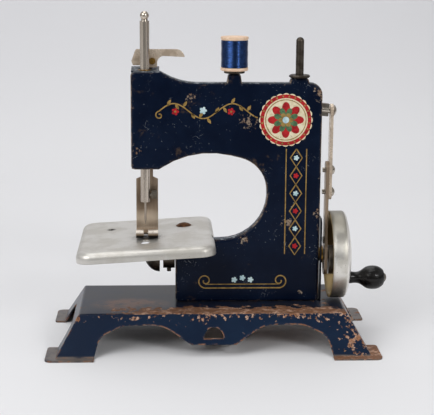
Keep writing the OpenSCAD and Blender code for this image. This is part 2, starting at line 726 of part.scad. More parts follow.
// Pin of the spool, riveted under the lug
module spool_pin() {
  top = arm_top + lug_h;
  color([0.60, 0.59, 0.56]) translate([spool_x, lug_y, 0]) {
    translate([0, 0, top - sheet - 1]) cylinder(h = 1, d = spool_pin_d + 1.2);
    translate([0, 0, top - sheet]) cylinder(h = sheet + clear + spool_h - 2, d = spool_pin_d);
    translate([0, 0, top + clear + spool_h - 2]) sphere(d = spool_pin_d);
  }
}
// Second spindle, with a shoulder on its disc and a rounded top
module thread_spindle() {
  top = arm_top + spindle_lug_h;
  color([0.30, 0.28, 0.25]) translate([spindle_x, lug_y, 0]) {
    translate([0, 0, top - sheet - 1]) cylinder(h = 1, d = spindle_d);
    translate([0, 0, top - sheet]) cylinder(h = sheet + disc_t, d = spindle_d - 1);
    translate([0, 0, top + disc_t]) cylinder(h = spindle_h - spindle_d / 2, d = spindle_d);
    translate([0, 0, top + disc_t + spindle_h - spindle_d / 2]) sphere(d = spindle_d);
  }
}
module spindle_disc() {
  color([0.40, 0.37, 0.33]) translate([spindle_x, lug_y, arm_top + spindle_lug_h]) difference() {
    rotate_extrude() polygon(rounded([[0, 0, 0], [disc_d / 2 - 1, 0, 0], [disc_d / 2, disc_t / 2, 0.5],
      [disc_d / 2 - 1, disc_t, 0], [0, disc_t, 0]]));
    translate([0, 0, -past]) cylinder(h = disc_t + 2 * past, d = spindle_d - 1);
  }
}

// Handwheel: a cast cup, open towards the post, with a bulging face and a hub
function wheel_skin(r, x, n) =
  [for (i = [0:n]) let (k = r * i / n) [k, x + wheel_dome * (1 - k * k / (r * r))]];
module handwheel() {
  r = wheel_d / 2;
  flat = r - edge_r;
  outer = concat(wheel_skin(flat, wheel_w, 10), [for (i = [1:5])
    [flat + edge_r * sin(18 * i), wheel_w - edge_r + edge_r * cos(18 * i)]], [[r, 0]]);
  inner = concat([[r - wheel_wall, 0]],
    [for (p = [for (i = [0:8]) wheel_skin(flat - wheel_wall, wheel_w - wheel_wall, 8)[8 - i]]) p]);
  color([0.72, 0.71, 0.66]) on_shaft() difference() {
    translate([wheel_x, 0, 0]) rotate([0, 90, 0]) union() {
      rotate_extrude() polygon(concat(outer, inner));
      translate([0, 0, hub_low]) cylinder(h = hub_high - hub_low, d = hub_d);
    }
    bar_along_x(wheel_x - past, shaft_end, shaft_d);
    translate([0, 0, -crank_r]) bar_along_x(wheel_x, wheel_x + 2 * wheel_w, stud_d);
    translate([wheel_x + hub_low + 2.4, 0, 0]) cylinder(h = hub_d, d = grub_d);
  }
}
module main_shaft() {
  color([0.55, 0.54, 0.51]) on_shaft() bar_along_x(looper_x + looper_len - 5, shaft_end, shaft_d);
}
module wheel_screw() {
  color([0.25, 0.24, 0.22]) on_shaft() translate([wheel_x + hub_low + 2.4, 0, shaft_d / 2]) difference() {
    cylinder(h = hub_d / 2 - shaft_d / 2 + 0.6, d = grub_d);
    translate([-2, -0.25, hub_d / 2 - shaft_d / 2]) cube([4, 0.5, 2]);
  }
}
// Cam that the follower pin faces: a disc off the shaft's axis by the throw
module cam_disc() {
  x0 = rod_x + clear + pin_out;
  color([0.45, 0.44, 0.41]) on_shaft() difference() {
    translate([0, 0, -throw]) bar_along_x(x0, wheel_x + hub_low, 2 * cam_r);
    bar_along_x(x0 - past, wheel_x + wheel_w, shaft_d);
  }
}
module shaft_collar() {
  x1 = bracket_left - bush_lip - clear;
  color([0.18, 0.17, 0.15]) on_shaft() difference() {
    bar_along_x(x1 - collar_len, x1, 2 * collar_r);
    bar_along_x(x1 - collar_len - past, x1 + past, shaft_d);
    translate([x1 - collar_len / 2, 0, -2 * collar_r]) cylinder(h = 2 * collar_r, d = grub_d);
  }
}
module collar_screw() {
  x1 = bracket_left - bush_lip - clear;
  color([0.25, 0.24, 0.22]) on_shaft() translate([x1 - collar_len / 2, 0, -collar_r - collar_screw_out])
    cylinder(h = collar_r + collar_screw_out - shaft_d / 2, d = grub_d);
}
// Rotary looper: a dome round the shaft's end, cut open to a hook
module looper() {
  n = 8;
  dome = [for (i = [0:n]) [looper_r * sin(90 * i / n), looper_len - looper_len * cos(90 * i / n)]];
  hollow = [for (i = [n:-1:0])
    [(looper_r - 1.6) * sin(90 * i / n), looper_len - (looper_len - 1.8) * cos(90 * i / n)]];
  color([0.22, 0.16, 0.11]) on_shaft() difference() {
    union() {
      difference() {
        translate([looper_x, 0, 0]) rotate([0, 90, 0]) rotate_extrude() polygon(concat(dome, hollow));
        looper_mouth();
      }
      bar_along_x(looper_x + 1, looper_x + looper_len, shaft_d + 4);
    }
    bar_along_x(looper_x + looper_len - 5, looper_x + looper_len + past, shaft_d);
  }
}
// Slanting cut that leaves the looper's hook
module looper_mouth() {
  translate([looper_x - past, 0, 0]) rotate([90, 0, 90]) linear_extrude(looper_len + 2 * past) polygon([
    [0, 0], [-2 * looper_r, looper_r], [-2 * looper_r, 2 * looper_r], [looper_r, 2 * looper_r]]);
}
// Stud of the crank handle, riveted in the wheel's face, with a round head
module handle_stud() {
  x0 = wheel_face - 3;
  color([0.60, 0.58, 0.54]) translate([0, 0, shaft_z - crank_r]) {
    bar_along_x(x0, handle_x + handle_len + clear + 0.4, stud_d);
    translate([handle_x + handle_len + clear, 0, 0]) rotate([0, 90, 0]) lens(stud_head, 1.6);
  }
}
// Turned wooden handle: foot, waist and knob
module crank_handle() {
  foot = handle_foot_d / 2;
  knob = knob_d / 2;
  l = handle_len;
  profile = rounded([[0, 0, 0], [foot, 0, 0.5], [foot - 0.4, 0.14 * l, 5], [foot - 0.4, 0.28 * l, 6],
    [knob, 0.53 * l, 8], [knob, 0.87 * l, 8], [0.6 * knob, l, 1.6], [0, l, 0]]);
  color([0.07, 0.06, 0.06]) translate([handle_x, 0, shaft_z - crank_r]) rotate([0, 90, 0]) difference() {
    rotate_extrude() polygon(profile);
    translate([0, 0, -past]) cylinder(h = handle_len + 2 * past, d = stud_d + 2 * run_fit);
  }
}

// Walking beam: a tapered bar, forked round the needle bar, with a shouldered right end
module walking_beam() {
  h = beam_h / 2;
  end = rod_arm - rod_t / 2 - clear - 0.35;
  fork = needle_arm - 6.5;
  color([0.50, 0.48, 0.44]) on_beam() difference() {
    union() {
      stand(-beam_t / 2, beam_t / 2) polygon(rounded([[-fork, -2.2, 0], [0, -h, 30],
        [end, -beam_end_h / 2, 0.4], [end, beam_end_h / 2, 0.4], [0, h, 30], [-fork, 2.2, 0]]));
      translate([-fork, -tine_out, -2.2]) cube([3, 2 * tine_out, 4.4]);
      for (s = [0, 1]) mirror([0, s, 0]) tine(fork);
    }
    bar_along_y(-beam_t, beam_t, pivot_d + 2 * run_fit);
    bar_along_x(end - 5, end + past, stub_d);
  }
}
module tine(fork) {
  translate([-needle_arm, 0, 0]) bar_along_y(tine_in, tine_out, 2 * tine_r);
  translate([-needle_arm, tine_in, -1.2]) cube([needle_arm - fork + 1, tine_out - tine_in, 2.4]);
}
// Stub in the beam's end that the upper rod hangs on, with a riveted head
module beam_stub() {
  end = rod_arm - rod_t / 2 - clear - 0.35;
  head = rod_arm + rod_t / 2 + 2 * clear;
  color([0.60, 0.58, 0.54]) on_beam() {
    bar_along_x(end - 5, head, stub_d);
    translate([head, 0, 0]) rotate([0, 90, 0]) lens(stub_d + 3, 1.6);
  }
}

// Needle bar with its ball on top
module needle_bar() {
  color([0.70, 0.68, 0.64]) translate([bar_x, 0, 0]) difference() {
    union() {
      translate([0, 0, bar_low]) cylinder(h = bar_high - bar_low, d = bar_d);
      translate([0, 0, bar_high]) cylinder(h = ball_d / 2, d1 = bar_d - 1.6, d2 = bar_d - 2.4);
      translate([0, 0, bar_high + 0.4 + ball_d / 2]) sphere(d = ball_d);
    }
    translate([0, 0, bar_low - past]) cylinder(h = 9 + past, d = needle_d);
    translate([0, 0, bar_low + clamp_up]) bar_along_x(0, bar_d, clamp_shank);
  }
}
// Two collars on the needle bar, with the beam's fork between them
module bar_collars() {
  gap = tine_r + clear;
  color([0.50, 0.48, 0.44]) translate([bar_x, 0, fork_z]) for (z = [gap, -gap - 2]) translate([0, 0, z])
    difference() {
      cylinder(h = 2, d = 2 * tine_out + 0.4);
      translate([0, 0, -past]) cylinder(h = 2 + 2 * past, d = bar_d);
    }
}
module needle() {
  color([0.66, 0.65, 0.62]) translate([bar_x, 0, bar_low]) {
    translate([0, 0, -needle_out + 3]) cylinder(h = needle_out - 3 + 9, d = needle_d);
    translate([0, 0, -needle_out]) cylinder(h = 3, d1 = 0.3, d2 = needle_d);
  }
}
// Clamp screw of the needle, with a milled head
module needle_screw() {
  r = bar_d / 2;
  color([0.62, 0.60, 0.55]) translate([bar_x, 0, bar_low + clamp_up]) {
    bar_along_x(needle_d / 2, r + 0.8, clamp_shank);
    translate([r + 0.8, 0, 0]) rotate([0, 90, 0]) difference() {
      cylinder(h = clamp_len, d = clamp_d);
      for (a = [0:30:330]) rotate([0, 0, a]) translate([clamp_d / 2, 0, -past])
        cylinder(h = clamp_len + 2 * past, d = 0.6, $fn = 16);
    }
  }
}

// Upper rod: a flat bar hung on the beam's stub
module rod_upper() {
  w = rod_w / 2;
  color([0.58, 0.55, 0.50]) translate([rod_x, 0, 0]) difference() {
    rotate([90, 0, 90]) linear_extrude(rod_t) union() {
      translate([0.6 - w, rod_split_low + w]) square([2 * w - 1.2, stub_z - rod_split_low - w]);
      translate([0, rod_split_low + w]) circle(r = w - 0.6);
      translate([0, stub_z]) circle(r = w);
    }
    translate([0, 0, stub_z]) bar_along_x(-past, rod_t + past, stub_d + 2.4 * clear);
    for (z = screw_z) translate([0, 0, z]) bar_along_x(-past, rod_t + past, rod_screw_d);
  }
}
// Lower rod: slotted round the main shaft, which guides it
module rod_lower() {
  w = rod_w / 2;
  slot = shaft_d / 2 + clear;
  eye = slot + 2.6;
  low = shaft_z - 2 * throw;
  color([0.58, 0.55, 0.50]) translate([rod_x - rod_t, 0, 0]) difference() {
    rotate([90, 0, 90]) linear_extrude(rod_t) difference() {
      union() {
        polygon([[-eye, low], [eye, low], [eye, shaft_z + 6], [w, shaft_z + 16], [w, rod_split_high - w],
          [-w, rod_split_high - w], [-w, shaft_z + 16], [-eye, shaft_z + 6]]);
        translate([0, low]) circle(r = eye);
        translate([0, rod_split_high - w]) circle(r = w);
      }
      translate([-slot, low]) square([2 * slot, 2 * throw]);
      for (z = [low, shaft_z]) translate([0, z]) circle(r = slot);
    }
    for (z = screw_z) translate([0, 0, z]) bar_along_x(-past, rod_t + past, rod_screw_d);
    translate([0, 0, pin_z]) bar_along_x(-past, rod_t + past, pin_d);
  }
}
module rod_screws() {
  color([0.30, 0.28, 0.26]) for (z = screw_z) translate([rod_x, 0, z]) {
    bar_along_x(-rod_t - 1.8, rod_t, rod_screw_d);
    translate([rod_t, 0, 0]) rotate([0, 90, 0]) difference() {
      lens(6.4, 2.2);
      translate([-5, -0.4, 1.2]) cube([10, 0.8, 2]);
    }
  }
}
// Pin of the lower rod that follows the cam
module follower_pin() {
  color([0.60, 0.58, 0.54]) translate([rod_x - rod_t, 0, pin_z]) {
    bar_along_x(0, rod_t + pin_out, pin_d);
    translate([-0.6, 0, 0]) bar_along_x(0, 0.6, pin_d + 1.4);
  }
}

// Presser foot: one strip, narrow in the head, wide below, bent forwards to two toes
module presser_foot() {
  sole = on_plate_z + clear;
  bend = sole + strip_t + toe_r;
  top = lifter_z + 3.2;
  color([0.68, 0.66, 0.62]) difference() {
    union() {
      stand(strip_y, strip_y + strip_t) strip_outline(bend, top);
      toes(sole, bend);
    }
    translate([lifter_x, 0, lifter_z]) bar_along_y(strip_y - past, strip_y + strip_t + past, lifter_pin_d);
    translate([bar_x + 0.3 - toe_gap / 2, toe_front - past, sole - past])
      cube([toe_gap, toe_slot - toe_front + past, toe_r + strip_t + past + 1]);
  }
}
module strip_outline(bend, top) {
  w = strip_w / 2;
  f = foot_w / 2;
  polygon(rounded([[strip_x - f, bend, 0], [strip_x + f, bend, 0], [strip_x + f, shoulder_z, 1],
    [strip_x + w, shoulder_z + 1.4, 1.2], [strip_x + w, top, 0.8], [strip_x - w, top, 2],
    [strip_x - w, shoulder_z + 1.4, 1.2], [strip_x - f, shoulder_z, 1]]));
  translate([lifter_x, lifter_z]) circle(r = 3.2);
}
// The bend and the two toes, drawn from the side
module toes(sole, bend) {
  y = strip_y - toe_r;
  x = strip_x - foot_w / 2;
  translate([x, 0, 0]) rotate([90, 0, 90]) linear_extrude(foot_w) {
    intersection() {
      difference() {
        translate([y, bend]) circle(r = toe_r + strip_t);
        translate([y, bend]) circle(r = toe_r);
      }
      translate([y, sole]) square(toe_r + strip_t);
    }
    polygon([[toe_front, sole + 1.4], [toe_front + 2.4, sole], [y, sole], [y, sole + strip_t],
      [toe_front + 2.8, sole + strip_t], [toe_front + 0.5, sole + 2.4]]);
  }
}
module lifter_pin() {
  color([0.70, 0.52, 0.22]) translate([lifter_x, 0, lifter_z]) {
    bar_along_y(lifter_y - 1.2, lifter_y - clear / 2, lifter_pin_d + 1);
    bar_along_y(lifter_y - clear / 2, strip_y + strip_t + 0.6, lifter_pin_d);
    bar_along_y(strip_y + strip_t, strip_y + strip_t + 0.8, lifter_pin_d + 1.2);
  }
}
// Lifter: heel that bears on the head's tab when it is turned, and a beak for the finger
module presser_lifter() {
  x = lifter_x;
  z = lifter_z;
  h = heel_len;
  b = beak_len;
  low = tab_top(lifter_y + lifter_t) + clear;
  color([0.60, 0.57, 0.50]) difference() {
    stand(lifter_y, lifter_y + lifter_t) polygon(rounded([[x - h + 2.6, z + lifter_up, 1.6],
      [x - h, z - 0.2, 1.5], [x - h + 1, z - heel_drop, 0.8], [x - 3.4, z - heel_drop, 0.5],
      [x - 2.6, low, 0.4], [x + 2.9, low, 0.6], [x + 3.3, z + beak_low, 4], [x + b, z + beak_low - 0.8, 0.3],
      [x + b - 2.2, z + lifter_up, 5]]));
    translate([x, 0, z]) bar_along_y(lifter_y - past, strip_y, lifter_pin_d + 2 * run_fit);
  }
}

// Wooden spool, turned, with bevelled flanges
module spool() {
  r = spool_d / 2;
  h = spool_h;
  color([0.80, 0.66, 0.45]) translate([spool_x, lug_y, spool_z]) difference() {
    rotate_extrude() polygon([[0, 0], [r - 2.2, 0], [r, 1.8], [r, flange_t - 0.5], [barrel_r, flange_t],
      [barrel_r, h - flange_t], [r, h - flange_t + 0.5], [r, h - 1.2], [r - 1.6, h], [0, h]]);
    translate([0, 0, -past]) cylinder(h = h + 2 * past, d = spool_pin_d + 2 * run_fit);
  }
}
// Point of the thread's axis after so many degrees of winding
function thread_at(a) = [wind_r * cos(a), wind_r * sin(a), wind_low + pitch * a / 360];
// Thread: a packed core, and its outermost layer wound as one unbroken strand
module spool_thread() {
  color([0.10, 0.18, 0.40]) translate([spool_x, lug_y, spool_z]) {
    difference() {
      translate([0, 0, flange_t + clear / 2]) cylinder(h = spool_h - 2 * flange_t - clear, d = thread_d);
      cylinder(h = spool_h, r = barrel_r + run_fit);
    }
    strand();
  }
}
module strand() {
  n = loops * rings_per_loop;
  r = strand_d / 2;
  points = [for (i = [0:n]) let (a = 360 * i / rings_per_loop) each [for (k = [0:sides - 1])
    let (t = 360 * k / sides) thread_at(a) + r * [cos(t) * cos(a), cos(t) * sin(a), sin(t)]]];
  sheath = [for (i = [0:n - 1], k = [0:sides - 1]) let (j = (k + 1) % sides, p = i * sides, q = p + sides)
    each [[p + k, p + j, q + k], [p + j, q + j, q + k]]];
  start = [for (k = [1:sides - 2]) [0, k + 1, k]];
  end = [for (k = [1:sides - 2]) [n * sides, n * sides + k, n * sides + k + 1]];
  polyhedron(points, concat(sheath, start, end));
}
// Least gap of the strand to its next loop, measured on its points
strand_gap = min([for (i = [0:rings_per_loop], k = [-6:6]) let (a = 360 * i / rings_per_loop)
  norm(thread_at(a + 360 + 15 * k) - thread_at(a))]) - strand_d;
echo(strand_gap = strand_gap);

// Moves the part so that the origin lies under its middle
module placed() {
  translate([-middle_x, 0, 0]) children();
}

placed() base_tray();
placed() body_panel();
placed() base_rivets();
placed() shaft_bracket();
placed() plate_bracket();
placed() cloth_plate();
placed() plate_screw();
placed() plate_nut();
placed() needle_bar_bushes();
placed() shaft_bushes();
placed() beam_pivot_pin();
placed() spool_pin();
placed() thread_spindle();
placed() spindle_disc();
placed() handwheel();
placed() main_shaft();
placed() wheel_screw();
placed() cam_disc();
placed() shaft_collar();
placed() collar_screw();
placed() looper();
placed() handle_stud();
placed() crank_handle();
placed() walking_beam();
placed() beam_stub();
placed() needle_bar();
placed() bar_collars();
placed() needle();
placed() needle_screw();
placed() rod_upper();
placed() rod_lower();
placed() rod_screws();
placed() follower_pin();
placed() presser_foot();
placed() lifter_pin();
placed() presser_lifter();
placed() spool();
placed() spool_thread();
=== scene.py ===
"""Looks of the toy sewing machine: finishes, print, plate, presser, spool, washer, thread and the studio.

Lengths are in metres in the part's own frame: +X towards the handwheel, +Y away from the
decorated face, +Z up. Sizes of pieces and patterns are written in millimetres and named so.
"""

from __future__ import annotations

import logging
from dataclasses import dataclass, field
from enum import Enum
from math import cos, hypot, pi, radians, sin, sqrt, tau
from typing import Any, Iterable, Mapping

import bmesh
import bpy
from mathutils import Matrix, Vector

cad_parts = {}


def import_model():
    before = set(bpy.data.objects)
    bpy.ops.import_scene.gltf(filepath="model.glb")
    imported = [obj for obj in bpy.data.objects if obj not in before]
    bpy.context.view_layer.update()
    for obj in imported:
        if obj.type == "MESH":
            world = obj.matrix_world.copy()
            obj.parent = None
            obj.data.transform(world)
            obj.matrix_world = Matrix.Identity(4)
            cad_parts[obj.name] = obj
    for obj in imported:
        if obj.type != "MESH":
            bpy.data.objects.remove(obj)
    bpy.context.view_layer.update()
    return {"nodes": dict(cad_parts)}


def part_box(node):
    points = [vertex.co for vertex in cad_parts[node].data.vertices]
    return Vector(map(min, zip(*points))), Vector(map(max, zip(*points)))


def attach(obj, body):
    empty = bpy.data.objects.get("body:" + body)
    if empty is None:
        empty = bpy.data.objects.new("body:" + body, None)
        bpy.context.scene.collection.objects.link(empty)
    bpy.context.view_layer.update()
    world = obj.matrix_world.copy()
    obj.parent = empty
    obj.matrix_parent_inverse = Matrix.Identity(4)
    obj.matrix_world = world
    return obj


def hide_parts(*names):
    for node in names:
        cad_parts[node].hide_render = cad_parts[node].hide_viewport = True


Socket = bpy.types.NodeSocket
Material = bpy.types.Material
Piece = bpy.types.Object
Point = tuple[float, float]
Triple = tuple[float, float, float]
Colour = tuple[float, float, float, float]
Stains = list[tuple[Any, ...]]

LOG = logging.getLogger("sewing_machine")
MM = 0.001
IMAGE_SIZE = (434, 415)
RIGHT: Triple = (1, 0, 0)
LEFT: Triple = (-1, 0, 0)
BACK: Triple = (0, 1, 0)
FRONT: Triple = (0, -1, 0)
UP: Triple = (0, 0, 1)
DOWN: Triple = (0, 0, -1)
# How ragged the edges of noise patches are, from 0 to 1
RAGGED = 0.62
# Corners of a printed ring
RING_STEPS = 72


def linear(code: str) -> Colour:
    """Turns an sRGB hex colour into linear light.

    Args:
        code: Colour as "#rrggbb".

    Returns:
        Linear red, green, blue and an alpha of 1.
    """
    parts = [int(code[i : i + 2], 16) / 255 for i in (1, 3, 5)]
    light = [c / 12.92 if c <= 0.04045 else ((c + 0.055) / 1.055) ** 2.4 for c in parts]
    return (light[0], light[1], light[2], 1.0)


def polar(centre: Point, radius: float, angle: float) -> Point:
    """Point at a radius and an angle from a centre."""
    return (centre[0] + radius * cos(angle), centre[1] + radius * sin(angle))


class Graph:
    """Node tree of a material or a world, drawn up from its coordinates to its shader."""

    def __init__(self, owner: Material | bpy.types.World) -> None:
        """Starts an empty tree.

        Args:
            owner: What the tree belongs to.
        """
        owner.use_nodes = True
        self.owner = owner
        self.tree = owner.node_tree
        self.tree.nodes.clear()

    def add(
        self, kind: str, inputs: Mapping[Any, Any] | None = None, out: Any = 0, **settings: Any
    ) -> Socket:
        """Adds a node with its settings and links.

        Args:
            kind: Node type without its "ShaderNode" prefix.
            inputs: Input name or index to a value, or to the socket that feeds it.
            out: Name or index of the output wanted.
            **settings: Properties of the node itself.

        Returns:
            The output socket, or None from a node that ends the tree.
        """
        node = self.tree.nodes.new("ShaderNode" + kind)
        for key, value in settings.items():
            setattr(node, key, value)
        for key, value in (inputs or {}).items():
            if isinstance(value, Socket):
                self.tree.links.new(value, node.inputs[key])
            else:
                node.inputs[key].default_value = value
        return node.outputs[out] if node.outputs else None

    def combine(self, how: str, *parts: Any, kind: str = "Math") -> Socket:
        """Masks, numbers or vectors joined one after the other.

        Args:
            how: Operation that joins them, such as "MULTIPLY" or "MAXIMUM".
            *parts: What is joined; one alone stays as it is.
            kind: "VectorMath" where vectors are joined.

        Returns:
            The joined socket.
        """
        total = parts[0]
        for part in parts[1:]:
            total = self.add(kind, {0: total, 1: part}, operation=how)
        return total

    def millimetres(self, stretch: Triple = (1, 1, 1), turn: Triple = (0, 0, 0)) -> Socket:
        """Place on the piece in millimetres.

        Args:
            stretch: How many times longer a pattern is along each axis.
            turn: Turn of the pattern about each axis in radians.

        Returns:
            The coordinate socket.
        """
        place = self.add("TexCoord", out="Object")
        if any(turn):
            place = self.add("VectorRotate", {"Vector": place, "Rotation": turn}, rotation_type="EULER_XYZ")
        return self.combine("MULTIPLY", place, tuple(1 / MM / s for s in stretch), kind="VectorMath")

    def patches(
        self, size_mm: float, low: float, high: float, stretch: Triple = (1, 1, 1), turn: Triple = (0, 0, 0),
        detail: float = 4.0, bias: Socket | None = None,
    ) -> Socket:
        """Irregular patches, 0 outside and 1 inside.

        Args:
            size_mm: Typical size of a patch.
            low: Noise level where a patch's edge starts.
            high: Noise level where the patch is full.
            stretch: How many times longer a patch is along each axis.
            turn: Turn of the pattern about each axis in radians.
            detail: Octaves of noise in its edge.
            bias: Added to the noise, so that patches crowd where it is high.

        Returns:
            The mask socket.
        """
        place = self.millimetres(stretch, turn)
        noise = {"Vector": place, "Scale": 1 / size_mm, "Detail": detail, "Roughness": RAGGED}
        level = self.add("TexNoise", noise, out="Fac")
        if bias is not None:
            level = self.combine("ADD", level, bias)
        edge = {"Value": level, "From Min": low, "From Max": high}
        return self.add("MapRange", edge, interpolation_type="SMOOTHSTEP")

    def band(self, place: Socket, way: Triple, start: float, end: float) -> Socket:
        """Rise from 0 to 1 along a way.

        Args:
            place: A place or a normal.
            way: Direction of the rise.
            start: Where along it the rise starts.
            end: Where it ends.

        Returns:
            The mask socket.
        """
        along = self.add("VectorMath", {0: place, 1: way}, out="Value", operation="DOT_PRODUCT")
        rise = {"Value": along, "From Min": start, "From Max": end}
        return self.add("MapRange", rise, interpolation_type="SMOOTHSTEP")

    def facing(self, way: Triple, start: float, end: float) -> Socket:
        """Rise from 0 to 1 as the surface turns towards a direction."""
        return self.band(self.add("NewGeometry", out="Normal"), way, start, end)

    def near(self, centre_mm: Triple, across: Triple, reach: float, full: float) -> Socket:
        """Rise from 0 to 1 towards a place.

        Args:
            centre_mm: The place.
            across: Weight of each axis in the distance from it.
            reach: Distance where the rise starts.
            full: Distance where it ends.

        Returns:
            The mask socket.
        """
        apart = self.combine("SUBTRACT", self.millimetres(), centre_mm, kind="VectorMath")
        weighed = self.combine("MULTIPLY", apart, across, kind="VectorMath")
        away = self.add("VectorMath", {0: weighed}, out="Value", operation="LENGTH")
        return self.add("MapRange", {"Value": away, "From Min": reach, "From Max": full})

    def near_edge(self, reach_mm: float, span: Point) -> Socket:
        """Rise from 0 to 1 towards an edge, where a rounded normal and the true one part.

        Args:
            reach_mm: Radius that the normal is rounded to.
            span: How far the two normals agree where the rise starts and where it ends.

        Returns:
            The mask socket.
        """
        rounded = self.add("Bevel", {"Radius": reach_mm * MM}, samples=8)
        true = self.add("NewGeometry", out="Normal")
        agree = self.add("VectorMath", {0: rounded, 1: true}, out="Value", operation="DOT_PRODUCT")
        return self.add("MapRange", {"Value": agree, "From Min": span[0], "From Max": span[1]})

    def layers(self, ground: Socket | str, *coats: tuple[Any, ...]) -> Socket:
        """Colours laid over one another, each a socket or a hex colour.

        Args:
            ground: Lowest colour.
            *coats: Masks, which are multiplied, and colour of each coat, from below.

        Returns:
            The colour socket.
        """
        for *masks, coat in coats:
            under, over = (linear(c) if isinstance(c, str) else c for c in (ground, coat))
            share = self.combine("MULTIPLY", *masks)
            ground = self.add("Mix", {0: share, 6: under, 7: over}, out=2, data_type="RGBA")
        return ground

    def finish(self, bump: Socket | None, depth_mm: float, round_mm: float = 0.4, **shader: Any) -> Material:
        """Ends a material's tree in a surface shader.

        Args:
            bump: Height of the surface from 0 to 1.
            depth_mm: What a height of 1 stands for.
            round_mm: Radius that edges seem rounded to.
            **shader: Shader inputs, their spaces written as underscores.

        Returns:
            The finished material.
        """
        inputs = {key.replace("_", " "): value for key, value in shader.items()}
        if bump is not None:
            eased = self.add("Bevel", {"Radius": round_mm * MM}, samples=6)
            inputs["Normal"] = self.add("Bump", {"Height": bump, "Distance": depth_mm * MM, "Normal": eased})
        self.add("OutputMaterial", {"Surface": self.add("BsdfPrincipled", inputs)})
        return self.owner


@dataclass(frozen=True)
class WornEnamel:
    """Gloss enamel dipped on steel sheet: deep even colour, chipped to pinkish steel and brown rust."""

    name: str
    paint: str
    faded: str
    gloss: float = 0.10
    bare: str = "#a98f7c"
    rust: str = "#8c6044"
    rust_dark: str = "#493427"
    # Roughness of the enamel and of bare steel
    rough: Point = (0.28, 0.75)
    thick_mm: float = 0.10

    def worn(self, g: Graph) -> Socket:
        """Mask of the places where the enamel is gone."""
        return g.patches(2.6, 0.66, 0.69, detail=5)

    def film(self, g: Graph) -> Stains:
        """Masks and colour of each stain that lies on the enamel."""
        return [(g.patches(30, 0.35, 0.7), self.faded)]

    def tarnish(self, g: Graph) -> Stains:
        """Masks and colour of rust on the bare steel, none unless a kind of enamel adds some."""
        return []

    def material(self) -> Material:
        """Builds the material.

        Returns:
            The material.
        """
        g = Graph(bpy.data.materials.new(self.name))
        worn = self.worn(g)
        rusted = (g.patches(4, 0.40, 0.62, detail=5), self.rust)
        pitted = (g.patches(1.6, 0.54, 0.64), self.rust_dark)
        metal = g.layers(self.bare, rusted, pitted, *self.tarnish(g))
        colour = g.layers(self.paint, *self.film(g), (worn, metal))
        rough = g.add("MapRange", {"Value": worn, "To Min": self.rough[0], "To Max": self.rough[1]})
        height = g.combine("SUBTRACT", 1.0, worn)
        shader = {"Base_Color": colour, "Roughness": rough, "Specular_IOR_Level": self.gloss}
        return g.finish(height, self.thick_mm, **shader)


@dataclass(frozen=True)
class PanelEnamel(WornEnamel):
    """Enamel of the upright panel: scratched at random, scuffed in places, thin along its pressed edge."""

    bare: str = "#97897a"
    rust: str = "#7d6351"
    scratch: str = "#8e939a"
    scuff: str = "#40352f"
    # Faded paint and painted sheen on the faces that look up
    crown: str = "#39434b"
    edge_mm: float = 2.4
    corner_mm: Triple = (0.0, 0.0, 0.0)
    # Rubbed places as X and Z from the panel's lower left corner, and reach
    rubs: tuple[Triple, ...] = (
        (70.7, 112.6, 10.0), (94.8, 50.9, 6.5), (35.9, 127.4, 6.0), (103.9, 6.2, 4.0), (113.5, 55.6, 5.5),
        (113.5, 129.6, 8.0), (69.0, 39.0, 6.0), (4.0, 95.6, 5.0),
    )
    # Share of a rubbed place that is worn most
    core: float = 0.2

    def rubbed(self, g: Graph) -> Socket:
        """How near the next rubbed place is, from 0 outside all of them to 1 in the middle of one.

        Args:
            g: The material's graph.

        Returns:
            The mask socket.
        """
        left, _, foot = self.corner_mm
        places = [((left + x, 0.0, foot + z), reach) for x, z, reach in self.rubs]
        return g.combine("MAXIMUM", *(g.near(p, (1, 0, 1), reach, reach * self.core) for p, reach in places))

    def worn(self, g: Graph) -> Socket:
        """Mask of the places where the enamel is gone.

        Args:
            g: The material's graph.

        Returns:
            The mask socket.
        """
        bend = g.combine("MULTIPLY", g.facing(FRONT, 0.86, 0.62), g.facing(FRONT, 0.0, 0.3))
        edge = g.combine("MULTIPLY", bend, g.facing(UP, 0.9, 0.5), g.patches(7, 0.40, 0.58, detail=6))
        beside = g.combine("MULTIPLY", g.near_edge(self.edge_mm, (0.995, 0.93)), 0.15)
        chips = g.patches(3.6, 0.745, 0.76, detail=6, bias=beside)
        rubs = g.patches(1.8, 0.74, 0.80, detail=9, bias=g.combine("MULTIPLY", self.rubbed(g), 0.27))
        return g.combine("MAXIMUM", edge, chips, rubs)

    def film(self, g: Graph) -> Stains:
        """Stains that lie on the enamel, and faded paint with a painted sheen on the faces that look up.

        Args:
            g: The material's graph.

        Returns:
            Masks and colour of each stain.
        """
        # Hair scratches are about 0.1 mm wide; they are drawn 0.5 mm wide so that they show
        turns = [(0, turn, 0) for turn in (0.45, 1.35, 2.5)]
        lines = [g.patches(0.5, 0.665, 0.70, (14, 1, 1), turn, detail=2) for turn in turns]
        return [
            *super().film(g),
            (g.patches(3.2, 0.48, 0.62, detail=7), g.patches(19, 0.58, 0.66), self.scuff),
            # Faded paint and painted sheen on the faces that look up
            (g.facing(UP, 0.55, 0.9), g.patches(9, 0.34, 0.6), self.crown),
            (g.facing(UP, 0.6, 0.9), g.patches(2.2, 0.54, 0.60, detail=6), 0.8, self.scratch),
            (g.combine("MAXIMUM", *lines), g.patches(16, 0.56, 0.61), 0.8, self.scratch),
            (g.patches(1.3, 0.685, 0.71, detail=3), g.patches(30, 0.44, 0.58), self.scratch),
        ]


